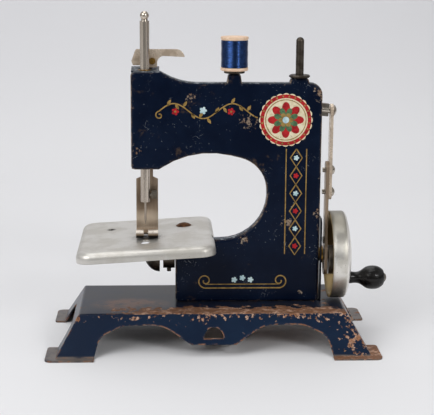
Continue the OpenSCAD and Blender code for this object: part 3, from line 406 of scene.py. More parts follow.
@dataclass(frozen=True)
class BaseEnamel(WornEnamel):
    """Enamel of the base: rusted along the top's front edge, chipped at arches and corners."""

    middle_mm: Triple = (0.0, 0.0, 0.0)
    edge_mm: float = 1.6
    # Where rust along the front starts and where it is fullest
    front_y: Point = (-9.0, -28.1)
    # Middle of the stain under the plate and its reach along X and Y
    pool: Point = (-50.0, -12.0)
    pool_reach: Point = (26.0, 15.0)
    dust: str = "#2b2726"
    stain: str = "#6a4630"
    stood: str = "#6e4c37"
    foot: str = "#655d58"
    # Painted shade: faces that look down, under the tray, are painted near black
    inside: str = "#06080d"

    def place(self, g: Graph) -> Socket:
        """Place from the middle of the base's foot in millimetres."""
        return g.combine("SUBTRACT", g.millimetres(), (*self.middle_mm[:2], 0.0), kind="VectorMath")

    def top(self, g: Graph) -> Socket:
        """Mask of the faces that look up."""
        return g.facing(UP, 0.7, 0.95)

    def worn(self, g: Graph) -> Socket:
        """Mask of the places where the enamel is gone.

        Args:
            g: The material's graph.

        Returns:
            The mask socket.
        """
        place, top = self.place(g), self.top(g)
        edge = g.near_edge(self.edge_mm, (0.985, 0.88))
        edge = g.combine("MULTIPLY", edge, g.patches(4, 0.47, 0.56, detail=6))
        front = g.band(place, BACK, *self.front_y)
        strip = g.combine("MULTIPLY", top, front, g.band(place, RIGHT, -90.0, -30.0), 0.36)
        beside = g.combine("MULTIPLY", top, g.band(place, RIGHT, 58.0, 66.0), 0.12)
        rust = g.patches(7, 0.68, 0.71, detail=9, bias=g.combine("MAXIMUM", strip, beside))
        side = g.combine("SUBTRACT", 1.0, top)
        fuller = g.combine("MAXIMUM", g.band(place, RIGHT, -45.0, -5.0), 0.6)
        under_rim = g.combine("MULTIPLY", side, fuller, g.band(place, UP, 14.0, 24.0), 0.20)
        right = g.combine("MULTIPLY", side, g.band(place, RIGHT, 62.0, 84.0), 0.17)
        loose = g.combine("MAXIMUM", under_rim, right)
        chips = g.patches(3.0, 0.735, 0.75, detail=6, bias=loose)
        flakes = g.patches(7.5, 0.73, 0.745, detail=7, bias=loose)
        return g.combine("MAXIMUM", edge, rust, chips, flakes)

    def tarnish(self, g: Graph) -> Stains:
        """Masks and colour of the brown rust where water stood on the top."""
        return [(self.top(g), g.patches(6, 0.34, 0.56, detail=6), 0.85, self.stood)]

    def film(self, g: Graph) -> Stains:
        """Stains that lie on the enamel, and a painted shade on the faces that look down.

        Args:
            g: The material's graph.

        Returns:
            Masks and colour of each stain.
        """
        top = self.top(g)
        middle = (self.middle_mm[0] + self.pool[0], self.middle_mm[1] + self.pool[1], 0.0)
        pool = g.near(middle, (1 / self.pool_reach[0], 1 / self.pool_reach[1], 0.0), 1.0, 0.6)
        return [
            *super().film(g),
            (top, g.patches(22, 0.2, 0.75), 0.8, self.dust),
            (pool, top, g.patches(7, 0.34, 0.60, detail=8), self.stain),
            (g.band(self.place(g), UP, 2.2, 1.0), g.patches(9, 0.25, 0.5), self.foot),
            # Painted shade on the faces that look down
            (g.facing(DOWN, 0.05, 0.3), self.inside),
        ]


@dataclass(frozen=True)
class Mark:
    """Round mark on a metal, such as grease about a screw, the unpolished hollow of a casting, or a painted
    shade or highlight.
    """

    centre_mm: Triple
    across: Triple
    reach_mm: float
    full_mm: float
    tint: str
    mottle: Point = (0.44, 0.62)
    mottle_mm: float = 1.6
    rough: float = 0.0

    def mask(self, g: Graph) -> Socket:
        """Mask of the mark."""
        near = g.near(self.centre_mm, self.across, self.reach_mm, self.full_mm)
        return g.combine("MULTIPLY", near, g.patches(self.mottle_mm, *self.mottle))


@dataclass(frozen=True)
class Side:
    """Side of a metal coloured otherwise by the way it faces, aged or painted lighter or darker as light
    falls on it; a shorter way takes less of it in.
    """

    way: Triple
    tint: str
    rough: float
    start: float = 0.1
    end: float = 0.5

    def mask(self, g: Graph) -> Socket:
        """Mask of the side."""
        return g.facing(self.way, self.start, self.end)


@dataclass(frozen=True)
class WornMetal:
    """Plain or plated metal, turned, pressed or cast: clear reflections, dulled and spotted by handling."""

    name: str
    colour: str
    dull: str
    spot: str = "#4a3526"
    rough: Point = (0.22, 0.45)
    grain_mm: float = 0.7
    grain_along: Triple = (1, 1, 1)
    grain_deep_mm: float = 0.008
    dull_mm: float = 5.0
    spot_level: float = 0.70
    # Size of the spots, or 0 for a set share of the dull patches' size
    spot_mm: float = 0.0
    spot_share: float = 0.4
    round_mm: float = 0.4
    metallic: float = 1.0
    # Marks laid on in turn, among them painted shade and painted highlights
    marks: tuple[Mark | Side, ...] = ()

    def material(self) -> Material:
        """Builds the material, its marks laid on in turn.

        Returns:
            The material.
        """
        g = Graph(bpy.data.materials.new(self.name))
        dull = g.patches(self.dull_mm, 0.38, 0.66, self.grain_along)
        spot_mm = self.spot_mm or self.dull_mm * self.spot_share
        spots = g.patches(spot_mm, self.spot_level, self.spot_level + 0.04, detail=5)
        colour = g.layers(self.colour, (dull, self.dull), (spots, self.spot))
        rough = g.add("MapRange", {"Value": dull, "To Min": self.rough[0], "To Max": self.rough[1]})
        for mark in self.marks:
            mask = mark.mask(g)
            colour = g.layers(colour, (mask, mark.tint))
            if mark.rough:
                rough = g.combine("MAXIMUM", rough, g.combine("MULTIPLY", mask, mark.rough))
        grain = g.patches(self.grain_mm, 0.3, 0.7, self.grain_along, detail=3)
        shader = {"Base_Color": colour, "Roughness": rough, "Metallic": self.metallic}
        return g.finish(grain, self.grain_deep_mm, self.round_mm, **shader)


@dataclass(frozen=True)
class TurnedWood:
    """Wood turned on a lathe: fine grain drawn out along X, pale or under black lacquer."""

    name: str
    early: str
    late: str
    rubbed: str
    rough: float
    # Birch rings are about 1.4 mm apart
    ring_mm: float = 1.4
    coat: float = 0.0
    round_mm: float = 0.4

    def material(self) -> Material:
        """Builds the material.

        Returns:
            The material.
        """
        g = Graph(bpy.data.materials.new(self.name))
        grain = g.patches(self.ring_mm, 0.35, 0.65, (6, 1, 1))
        worn = g.patches(3, 0.66, 0.74, detail=5)
        colour = g.layers(self.early, (grain, self.late), (worn, self.rubbed))
        rough = g.add("MapRange", {"Value": worn, "To Min": self.rough, "To Max": self.rough + 0.15})
        lacquer = {"Coat_Weight": self.coat, "Coat_Roughness": 0.08, "Specular_IOR_Level": 0.2}
        return g.finish(grain, 0.01, self.round_mm, Base_Color=colour, Roughness=rough, **lacquer)


@dataclass(frozen=True)
class CottonThread:
    """Mercerised cotton, spun and wound close: a silky band of light across the whole winding."""

    name: str
    axis_mm: Triple
    colour: str = "#15264b"
    light: str = "#2d4a7c"
    # The twist of a strand repeats in about 0.6 mm
    twist_mm: float = 0.6
    # Parts of the normal: the winding's round by millimetre of radius, straight up, and each strand's own
    barrel: Triple = (0.12, 0.12, 0.0)
    lift: Triple = (0.0, 0.0, 0.45)
    own: Triple = (0.2, 0.2, 0.2)

    def material(self) -> Material:
        """Builds the material.

        Returns:
            The material.
        """
        g = Graph(bpy.data.materials.new(self.name))
        fibre = g.patches(self.twist_mm, 0.35, 0.7, (3, 3, 1), detail=3)
        colour = g.layers(self.colour, (fibre, self.light))
        # Fibres lie round the spool: light spreads up and down, not sideways, from each strand's upper side
        place = g.combine("SUBTRACT", g.millimetres(), self.axis_mm, kind="VectorMath")
        barrel = {"Vector": g.combine("MULTIPLY", place, self.barrel, kind="VectorMath")}
        ways = {"vector_type": "NORMAL", "convert_from": "OBJECT", "convert_to": "WORLD"}
        turned = g.add("VectorTransform", barrel, **ways)
        strand = g.combine("MULTIPLY", g.add("NewGeometry", out="Normal"), self.own, kind="VectorMath")
        normal = g.combine("ADD", turned, self.lift, strand, kind="VectorMath")
        normal = g.add("VectorMath", {0: normal}, operation="NORMALIZE")
        return g.finish(None, 0.0, Base_Color=colour, Roughness=0.26, Metallic=0.9, Normal=normal)


@dataclass(frozen=True)
class TransferInk:
    """Ink of a transfer laid on enamel: a thin even film, flaked where the enamel was rubbed."""

    name: str
    ink: str
    deep: str
    lift_mm: float
    ground: str = "#0c1528"

    def material(self) -> Material:
        """Builds the material.

        Returns:
            The material.
        """
        g = Graph(bpy.data.materials.new(self.name))
        tone = g.patches(3, 0.35, 0.7)
        fine, broad = g.patches(1.4, 0.66, 0.70, detail=5), g.patches(16, 0.66, 0.69, detail=8)
        flaked = g.combine("MAXIMUM", fine, broad)
        colour = g.layers(self.ink, (tone, self.deep), (flaked, self.ground))
        rough = g.add("MapRange", {"Value": flaked, "To Min": 0.40, "To Max": 0.30})
        return g.finish(flaked, -0.02, 0.02, Base_Color=colour, Roughness=rough, Specular_IOR_Level=0.1)


Finish = WornEnamel | WornMetal | TurnedWood


class Ink(Enum):
    """Inks of the printed ornament, with how far each lies off the face."""

    CREAM = TransferInk("transfer_ink_cream", "#e6dcc0", "#cfc09a", 0.05)
    RED = TransferInk("transfer_ink_red", "#b8292c", "#8e1f25", 0.07)
    GREEN = TransferInk("transfer_ink_green", "#5d7d58", "#3f5c46", 0.09)
    GOLD = TransferInk("transfer_ink_gold", "#a5874f", "#7d6538", 0.11)
    PALE = TransferInk("transfer_ink_pale_blue", "#c9dde0", "#9fc0c8", 0.13)


def add_mesh(name: str, points: Iterable[Iterable[float]], faces: Iterable[Iterable[int]]) -> Piece:
    """Makes a mesh object in the scene.

    Args:
        name: The object's name.
        points: Corners in metres.
        faces: Corner numbers of each face.

    Returns:
        The new object.
    """
    mesh = bpy.data.meshes.new(name)
    mesh.from_pydata([tuple(p) for p in points], [], [tuple(f) for f in faces])
    mesh.update()
    piece = bpy.data.objects.new(name, mesh)
    bpy.context.scene.collection.objects.link(piece)
    return piece


def skin(rings: int, size: int, first: int = 0) -> list[list[int]]:
    """Faces of a tube through rings of corners.

    Args:
        rings: How many rings follow one another.
        size: Corners of a ring.
        first: Number of the first corner.

    Returns:
        Corner numbers of each face.
    """
    faces = []
    for row in range(first, first + (rings - 1) * size, size):
        for k in range(size):
            p, q = row + k, row + (k + 1) % size
            faces.append([p, q, q + size, p + size])
    return faces


def soften(piece: Piece) -> None:
    """Shades all faces of a piece smooth."""
    for polygon in piece.data.polygons:
        polygon.use_smooth = True


def smooth(piece: Piece, sharp: float = 40.0) -> None:
    """Turns a closed piece's faces outwards and shades it smooth between its sharp edges.

    Args:
        piece: Object to shade.
        sharp: Angle in degrees from which an edge stays sharp.
    """
    work = bmesh.new()
    work.from_mesh(piece.data)
    bmesh.ops.recalc_face_normals(work, faces=work.faces)
    work.to_mesh(piece.data)
    work.free()
    soften(piece)
    piece.data.set_sharp_from_angle(angle=radians(sharp))


def cut(piece: Piece, cutters: list[Piece]) -> None:
    """Takes cutters out of a piece and deletes them.

    Args:
        piece: Object that is cut.
        cutters: Closed objects.
    """
    for cutter in cutters:
        step = piece.modifiers.new("cut", "BOOLEAN")
        step.operation, step.solver, step.object = "DIFFERENCE", "EXACT", cutter
    bpy.context.view_layer.update()
    made = bpy.data.meshes.new_from_object(piece.evaluated_get(bpy.context.evaluated_depsgraph_get()))
    piece.modifiers.clear()
    piece.data = made
    for cutter in cutters:
        bpy.data.objects.remove(cutter)


def lathe(name: str, centre: Vector, profile: tuple[Point, ...], steps: int = 64) -> Piece:
    """Turns a ring-shaped piece about an upright axis.

    Args:
        name: The object's name.
        centre: Foot of the axis in metres.
        profile: Closed outline of radius and height in millimetres.
        steps: Corners round the axis.

    Returns:
        The new object.
    """
    turns = [tau * i / steps for i in range(steps)]
    points = [centre + Vector((*polar((0, 0), r, t), z)) * MM for r, z in profile for t in turns]
    # The last ring is the first one again
    faces = [[corner % len(points) for corner in face] for face in skin(len(profile) + 1, steps)]
    piece = add_mesh(name, points, faces)
    smooth(piece)
    return piece


def dress(piece: Piece, material: Material) -> None:
    """Gives a piece its only material."""
    piece.data.materials.clear()
    piece.data.materials.append(material)


@dataclass
class Film:
    """Flat printed shapes on the panel's face, gathered by ink.

    Places are millimetres right of a line just inside the panel's left end, and above its foot.
    """

    points: dict[Ink, list[Vector]] = field(default_factory=lambda: {i: [] for i in Ink})
    faces: dict[Ink, list[range]] = field(default_factory=lambda: {i: [] for i in Ink})
    inset: float = 1.0

    def polygon(self, ink: Ink, outline: list[Point]) -> None:
        """Adds one filled shape.

        Args:
            ink: Its ink.
            outline: Its corners.
        """
        first = len(self.points[ink])
        self.points[ink] += [Vector((u + self.inset, -ink.value.lift_mm, v)) * MM for u, v in outline]
        self.faces[ink].append(range(first, first + len(outline)))

    def stroke(self, ink: Ink, path: list[Point], width: float) -> None:
        """Adds a line of even width.

        Args:
            ink: Its ink.
            path: Points along its middle.
            width: Its width in millimetres.
        """
        sides: list[tuple[Point, Point]] = []
        for i, (u, v) in enumerate(path):
            a, b = path[max(i - 1, 0)], path[min(i + 1, len(path) - 1)]
            du, dv = b[0] - a[0], b[1] - a[1]
            k = width / 2 / max(hypot(du, dv), 1e-9)
            sides.append(((u - dv * k, v + du * k), (u + dv * k, v - du * k)))
        for (l0, r0), (l1, r1) in zip(sides, sides[1:]):
            self.polygon(ink, [l0, r0, r1, l1])

    def ring(self, ink: Ink, centre: Point, inner: float, outer: float) -> None:
        """Adds a flat ring between two radii about a centre."""
        path = [polar(centre, (inner + outer) / 2, tau * i / RING_STEPS) for i in range(RING_STEPS + 1)]
        self.stroke(ink, path, outer - inner)

    def blossom(
        self, ink: Ink, centre: Point, radius: float, petals: int, depth: float = 0.45, turn: float = 0.0
    ) -> None:
        """Adds a flower with rounded petals.

        Args:
            ink: Its ink.
            centre: Its centre.
            radius: Reach of a petal.
            petals: How many petals it has.
            depth: How far the petals are parted, from 0 to 1.
            turn: Its turn in radians.
        """
        steps, blunt = petals * 10, 0.7
        outline = []
        for i in range(steps):
            t = tau * i / steps
            r = radius * (1 - depth + depth * abs(cos(petals * t / 2)) ** blunt)
            outline.append(polar(centre, r, t + turn))
        self.polygon(ink, outline)

    def leaf(self, ink: Ink, foot: Point, length: float, angle: float) -> None:
        """Adds a pointed leaf.

        Args:
            ink: Its ink.
            foot: Where it leaves its stem.
            length: Its length.
            angle: Its direction in radians.
        """
        steps, slim = 6, 0.22
        half = [(length * i / steps, slim * length * sin(pi * i / steps)) for i in range(steps + 1)]
        loop = half + [(u, -v) for u, v in reversed(half[1:-1])]
        c, s = cos(angle), sin(angle)
        self.polygon(ink, [(foot[0] + u * c - v * s, foot[1] + u * s + v * c) for u, v in loop])

    def curl(
        self, ink: Ink, eye: Point, radius: float, turns: float, start: float, hand: int, width: float
    ) -> None:
        """Adds a spiral scroll.

        Args:
            ink: Its ink.
            eye: Centre of the scroll.
            radius: Its outer radius.
            turns: How often it winds.
            start: Angle of its outer end in radians.
            hand: 1 to wind anticlockwise from the outer end, -1 clockwise.
            width: Width of the line.
        """
        steps_a_turn, drawn_in = 24, 0.8
        n = int(steps_a_turn * turns)
        path = []
        for i in range(n + 1):
            t = start + hand * tau * turns * i / n
            path.append(polar(eye, radius * (1 - drawn_in * i / n), t))
        self.stroke(ink, path, width)

    def build(self) -> list[Piece]:
        """Makes one piece of each ink on the panel's face.

        Returns:
            The pieces.
        """
        made = []
        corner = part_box("body_panel")[0]
        for ink in Ink:
            name = ink.value.name.replace("transfer_ink", "print")
            piece = add_mesh(name, [corner + point for point in self.points[ink]], self.faces[ink])
            dress(piece, ink.value.material())
            made.append(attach(piece, "frame"))
        return made


@dataclass
class Ornament(Film):
    """Printed ornament of the panel: rosette, garland, lozenge chain and pinstripes, in millimetres."""

    rosette: Point = (92.2, 113.6)
    rosette_r: float = 16.6
    line: float = 0.75
    # Line through the garland: left end and height, step, height of a wave and steps to a wave
    stem: Point = (16.0, 119.0)
    stem_step: float = 0.8
    wave: float = 4.5
    wave_steps: int = 44
    # Flowers beside the garland: step of the stem, ink, and whether above or below it
    flowers: tuple[tuple[int, Ink, int], ...] = ((12, Ink.RED, -1), (33, Ink.PALE, 1), (54, Ink.RED, -1))
    flower_off: float = 4.8
    # Lozenges: top of the chain, length and half width of one, and how many
    chain: Point = (99.0, 96.0)
    lozenge: Point = (11.0, 3.6)
    lozenges: int = 6
    # How far the lines beside the chain are from its middle
    rail: float = 6.2
    # Pinstripes along the bed: ends, heights, and height of the scrolls' eyes
    stripe: tuple[int, int] = (44, 90)
    stripe_v: Point = (9.0, 11.4)
    scroll_v: float = 13.6
    bed_flowers: tuple[Point, ...] = ((62.0, 14.2), (67.0, 15.4), (72.0, 14.2))

    def build(self) -> list[Piece]:
        """Draws the ornament and makes its pieces.

        Returns:
            The printed pieces.
        """
        self.draw_rosette()
        self.draw_garland()
        self.draw_chain()
        self.draw_foot()
        return super().build()

    def draw_rosette(self) -> None:
        """Draws the round flower on the shoulder, its coats as shares of its radius."""
        c, r = self.rosette, self.rosette_r
        scallops, bead_at, bead_r = 24, 0.865, 0.55
        self.blossom(Ink.CREAM, c, r * 0.98, scallops, 0.06)
        self.ring(Ink.RED, c, r * 0.80, r * 0.93)
        self.ring(Ink.GOLD, c, r * 0.72, r * 0.75)
        self.blossom(Ink.RED, c, r * 0.66, 8, 0.5)
        self.blossom(Ink.GREEN, c, r * 0.46, 8, 0.5, pi / 8)
        self.blossom(Ink.GOLD, c, r * 0.27, 6, 0.4)
        self.ring(Ink.PALE, c, 0, r * 0.12)
        for i in range(scallops):
            self.ring(Ink.GOLD, polar(c, r * bead_at, tau * (i + 0.5) / scallops), 0, bead_r)

    def draw_garland(self) -> None:
        """Draws the leafy stem along the arm."""
        u0, v0 = self.stem
        turn = tau / self.wave_steps
        stem = [(u0 + self.stem_step * i, v0 + self.wave * sin(turn * i)) for i in range(75)]
        self.stroke(Ink.GOLD, stem, self.line)
        self.curl(Ink.GOLD, (16.2, 116.4), 2.6, 1.1, pi / 2, 1, self.line)
        for i in range(6, 72, 6):
            self.leaf(Ink.GOLD, stem[i], 4.2, 1.0 if i % 12 else -1.0)
        for i, ink, side in self.flowers:
            u, v = stem[i]
            centre = (u, v + side * self.flower_off)
            self.blossom(ink, centre, 2.3, 5)
            self.ring(Ink.GOLD, centre, 0, 0.6)

    def draw_chain(self) -> None:
        """Draws the chain of lozenges down the post."""
        (u, top), (pitch, half) = self.chain, self.lozenge
        for i in range(self.lozenges):
            v = top - i * pitch
            middle = v - pitch / 2
            lozenge = [(u, v), (u + half, middle), (u, v - pitch), (u - half, middle), (u, v)]
            self.stroke(Ink.GOLD, lozenge, self.line)
            self.blossom((Ink.PALE, Ink.RED)[i % 2], (u, middle), 1.7, 5)
        for side in (-self.rail, self.rail):
            path = [(u + side, top - i / 2) for i in range(int(2 * self.lozenges * pitch))]
            self.stroke(Ink.GOLD, path, self.line * 0.8)

    def draw_foot(self) -> None:
        """Draws the pinstripes with scrolls along the bed."""
        left, right = self.stripe
        for v, width in zip(self.stripe_v, (self.line, self.line * 0.7)):
            self.stroke(Ink.GOLD, [(u, v) for u in range(left, right + 1)], width)
        for u, hand in ((left, -1), (right, 1)):
            self.curl(Ink.GOLD, (u, self.scroll_v), 4.6, 1.3, -pi / 2, hand, self.line)
        for centre in self.bed_flowers:
            self.blossom(Ink.PALE, centre, 1.9, 5)


@dataclass
class ClothPlate:
    """Aluminium plate pressed to a shallow tray and turned over; in millimetres in its own tilted frame.

    X runs from the bed's left edge towards the handwheel, Z from the underside of the sheet.
    """

    length: float = 83.7
    over: float = 23.9
    front: float = -36.0
    depth: float = 87.5
    sheet: float = 1.0
    skirt: float = 6.4
    corner_r: float = 9.0
    bend_r: float = 4.0
    sag: float = 3.5
    steps: int = 8
    # Middle, width and length of needle hole, sight hole, screw hole and spare hole
    holes: tuple[tuple[Point, float, float], ...] = (
        ((-18.3, 0.0), 1.8, 1.8),
        ((-18.3, -14.4), 5.2, 8.4),
        ((5.6, 24.5), 4.0, 4.0),
        ((-40.4, 24.5), 3.0, 3.0),
    )
    hole_steps: int = 32
    # How far a punch reaches to both sides of the sheet's underside
    punch: float = 3.0
    # Corners of the notch where the bed passes under the sheet
    notch: tuple[Point, Point] = ((-17.9, -8.5), (40.0, -1.5))

    def frame(self) -> Matrix:
        """The plate's own frame, found from its solid's box.

        Returns:
            The matrix from the plate's millimetres to the part's metres.
        """
        low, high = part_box("cloth_plate")
        angle = radians(self.sag)
        drop = self.skirt - self.sheet
        right = self.over * cos(angle) + drop * sin(angle)
        down = (self.length - self.over) * sin(angle) + drop * cos(angle)
        origin = Vector((high.x - right * MM, low.y - self.front * MM, low.z + down * MM))
        return Matrix.Translation(origin) @ Matrix.Rotation(-angle, 4, "Y") @ Matrix.Scale(MM, 4)

    def quarter(self) -> list[float]:
        """Angles of a quarter turn."""
        return [pi / 2 * i / self.steps for i in range(self.steps + 1)]

    def outline(self, inset: float) -> list[Point]:
        """The plate's outline, moved inwards.

        Args:
            inset: How far.

        Returns:
            Its corners, anticlockwise from above.
        """
        r = self.corner_r
        x0, x1 = self.over - self.length + r, self.over - r
        y0, y1 = self.front + r, self.front + self.depth - r
        corners = ((x1, y1), (x0, y1), (x0, y0), (x1, y0))
        turns = [[a + pi / 2 * i for a in self.quarter()] for i in range(4)]
        return [polar(c, r - inset, a) for c, arc in zip(corners, turns) for a in arc]

    def prism(self, outline: list[Point], low: float, high: float) -> Piece:
        """Makes an upright cutter.

        Args:
            outline: Its outline.
            low: Its lower end.
            high: Its upper end.

        Returns:
            The cutter.
        """
        n = len(outline)
        points = [self.frame() @ Vector((x, y, z)) for z in (low, high) for x, y in outline]
        return add_mesh("cutter", points, [*skin(2, n), range(n)[::-1], range(n, 2 * n)])

    def cutters(self) -> list[Piece]:
        """Makes the punches of the holes and the notch.

        Returns:
            The cutters.
        """
        made = []
        for (x, y), wide, long in self.holes:
            shape = []
            for i in range(self.hole_steps):
                end = (long - wide) / 2 if i <= self.hole_steps // 2 else (wide - long) / 2
                shape.append(polar((x, y + end), wide / 2, tau * i / self.hole_steps))
            made.append(self.prism(shape, -self.punch, self.punch))
        (x0, y0), (x1, y1) = self.notch
        made.append(self.prism([(x0, y0), (x1, y0), (x1, y1), (x0, y1)], -2 * self.skirt, 0.0))
        return made

    def build(self, material: Material) -> Piece:
        """Presses the plate and punches its holes.

        Args:
            material: Its finish.

        Returns:
            The plate.
        """
        arc = [(1 - cos(a), 1 - sin(a)) for a in self.quarter()]
        inner_r, foot = self.bend_r - self.sheet, self.sheet - self.skirt
        inner = [(self.sheet + inner_r * across, -inner_r * down) for across, down in reversed(arc)]
        outer = [(self.bend_r * across, self.sheet - self.bend_r * down) for across, down in arc]
        rings = [*inner, (self.sheet, foot), (0.0, foot), *outer]
        place = self.frame()
        points = [place @ Vector((x, y, z)) for inset, z in rings for x, y in self.outline(inset)]
        n, total = len(self.outline(0)), len(points)
        plate = add_mesh(
            "pressed_cloth_plate", points, [*skin(len(rings), n), range(total - n, total), range(n)[::-1]]
        )
        cut(plate, self.cutters())
        smooth(plate, 30.0)
        dress(plate, material)
        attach(plate, "frame")
        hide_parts("cloth_plate")
        return plate


@dataclass
class PresserFoot:
    """Presser bent from one strip: shoulders, a bend and two toes with rolled tips; in millimetres."""

    middle_x: float = -44.71
    foot_z: float = 64.1
    thick: float = 1.2
    upper: Point = (-3.7, 3.7)
    lower: Point = (-6.7, 6.7)
    gap: Point = (-2.1, 0.7)
    eye: Point = (3.5, 171.2)
    eye_r: float = 3.2
    eye_steps: int = 10
    # Share of the eye's height that is drawn, so that its ends keep a width
    eye_share: float = 0.999
    back: float = 5.8
    # Heights between which the strip widens, and the rows above and below them
    shoulder: Point = (98.6, 100.0)
    rows_above: Point = (150.0, 125.0)
    rows_below: Point = (90.0, 82.0)
    # Middle line of the strip from the bend to the tips, as Y and Z
    sole: tuple[Point, ...] = (
        (5.8, 72.0), (5.8, 69.3), (5.64, 68.11), (5.18, 67.0), (4.45, 66.05), (3.5, 65.32), (2.39, 64.86),
        (1.2, 64.7), (-2.0, 64.7), (-5.4, 64.7), (-7.0, 64.78), (-8.2, 65.3), (-9.0, 66.2), (-9.2, 67.3),
        (-8.8, 68.3), (-7.9, 68.8), (-6.9, 68.6),
    )
    # Point of the sole that the gap between the toes starts from
    gap_from: int = 6

    def sides(self, z: float) -> Point:
        """Left and right edge of the strip.

        Args:
            z: Height.

        Returns:
            The edges from the strip's middle.
        """
        share = min(max((z - self.shoulder[0]) / (self.shoulder[1] - self.shoulder[0]), 0.0), 1.0)
        left, right = (b + (a - b) * share for a, b in zip(self.upper, self.lower))
        reach = self.eye_r**2 - (z - self.eye[1]) ** 2
        return left, max(right, self.eye[0] + sqrt(reach)) if reach > 0 else right

    def rows(self) -> list[Point]:
        """Heights of the upright strip from its top.

        Returns:
            Y and Z of its middle line.
        """
        turns = [pi * i / self.eye_steps for i in range(self.eye_steps + 1)]
        heights = [self.eye[1] + self.eye_r * cos(t) * self.eye_share for t in turns]
        heights += [*self.rows_above, *reversed(self.shoulder), *self.rows_below]
        return [(self.back, z) for z in heights]

    def build(self, material: Material) -> Piece:
        """Bends the strip.

        Args:
            material: Its finish.

        Returns:
            The presser foot.
        """
        low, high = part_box("presser_foot")
        upright = self.rows()
        path = [*upright, *self.sole]
        gap_from = len(upright) + self.gap_from
        shift = Vector(((low.x + high.x) / 2 / MM - self.middle_x, 0, low.z / MM - self.foot_z))
        front: list[Vector] = []
        back: list[Vector] = []
        for i, (y, z) in enumerate(path):
            (y0, z0), (y1, z1) = path[max(i - 1, 0)], path[min(i + 1, len(path) - 1)]
            long = hypot(y1 - y0, z1 - z0)
            out = Vector((0, (z1 - z0) / long, -(y1 - y0) / long)) * self.thick / 2
            left, right = self.sides(z)
            for x in (left, *self.gap, right):
                middle = Vector((self.middle_x + x, y, z)) + shift
                front.append((middle + out) * MM)
                back.append((middle - out) * MM)
        # A row has four corners and three cells, of which the middle one is open between the toes
        n, row = len(front), 4
        cells = {(i, j) for i in range(len(path) - 1) for j in range(row - 1) if j != 1 or i < gap_from}
        faces = []
        for i, j in cells:
            p = i * row + j
            loop = [p, p + row, p + row + 1, p + 1]
            faces += [loop, [n + p for p in reversed(loop)]]
            beside = ((i, j - 1), (i + 1, j), (i, j + 1), (i - 1, j))
            for p, q, cell in zip(loop, loop[1:] + loop[:1], beside):
                if cell not in cells:
                    faces.append([q, p, n + p, n + q])
        foot = add_mesh("bent_presser_foot", front + back, faces)
        smooth(foot)
        dress(foot, material)
        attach(foot, "presser")
        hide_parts("presser_foot")
        return foot


@dataclass
class Spool:
    """Wooden spool on a steel washer, with its thread wound close in one unbroken strand."""

    # Outline of the wood as radius and height above the spool's foot, and of the washer under it
    wood: tuple[Point, ...] = (
        (1.56, 1.1), (7.5, 1.1), (8.1, 1.3), (8.4, 1.8), (8.35, 2.3), (8.1, 3.0), (5.2, 3.1), (5.2, 19.2),
        (8.1, 19.4), (8.3, 20.1), (8.4, 20.8), (8.2, 21.25), (7.8, 21.4), (3.4, 21.4), (2.7, 21.1),
        (1.56, 19.8),
    )
    washer: tuple[Point, ...] = (
        (1.5, -0.35), (6.0, -0.35), (6.25, -0.1), (6.25, 0.85), (6.0, 1.1), (1.5, 1.1),
    )
    washer_steps: int = 48
    strand_mm: float = 0.34
    pitch_mm: float = 0.36
    # How far the winding climbs over the upper flange's cone
    over_mm: float = 0.9
    # How far the strand lies inside its solid, and the layer under it, at its face and at its core
    sunk_mm: float = 0.12
    core_mm: Point = (0.15, 4.0)
    # The winding swells a little, as wound by hand: height of a swell and radians to a loop
    swells: tuple[Point, ...] = ((0.06, 0.37), (0.03, 3.91))
    sides: int = 6
    steps: int = 36
    core_steps: int = 48

    def build(self, wood: Material, black: Material) -> list[Piece]:
        """Turns the spool, lays the washer under it and winds the thread.

        Args:
            wood: The spool's finish.
            black: The washer's finish.

        Returns:
            The three pieces.
        """
        low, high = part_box("spool")
        foot = Vector(((low.x + high.x) / 2, (low.y + high.y) / 2, low.z))
        turned = lathe("turned_spool", foot, self.wood)
        dress(turned, wood)
        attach(turned, "spool")
        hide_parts("spool")
        washer = lathe("spool_washer", foot, self.washer, self.washer_steps)
        dress(washer, black)
        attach(washer, "frame")
        return [turned, washer, self.wind()]

    def wind(self) -> Piece:
        """Winds the thread in the room of its plain solid, round a plain layer of thread.

        Returns:
            The wound thread.
        """
        low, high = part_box("spool_thread")
        centre = (low + high) / 2
        half = self.strand_mm * MM / 2
        radius = (high.x - low.x) / 2 - half
        z0, z1 = low.z + half, high.z + self.over_mm * MM
        n = int((z1 - z0) / (self.pitch_mm * MM)) * self.steps
        points: list[Vector] = []
        for i in range(n + 1):
            loops = i / self.steps
            swell = sum(height * sin(pace * loops) for height, pace in self.swells)
            middle = (radius + (swell - self.sunk_mm) * MM, z0 + (z1 - z0) * i / n)
            for k in range(self.sides):
                r, z = polar(middle, half, tau * k / self.sides)
                points.append(Vector((*polar(centre.xy, r, tau * loops), z)))
        face_r, core_r = (radius - inset * MM for inset in self.core_mm)
        core = ((core_r, z0), (face_r, z0), (face_r, z1), (core_r, z1))
        faces = skin(n + 1, self.sides) + skin(len(core), self.core_steps, len(points))
        turns = [tau * j / self.core_steps for j in range(self.core_steps)]
        points += [Vector((*polar(centre.xy, r, t), z)) for r, z in core for t in turns]
        piece = add_mesh("thread_winding", points, faces)
        soften(piece)
        dress(piece, CottonThread("mercerised_cotton_wound", tuple(centre / MM)).material())
        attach(piece, "spool")
        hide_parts("spool_thread")
        return piece


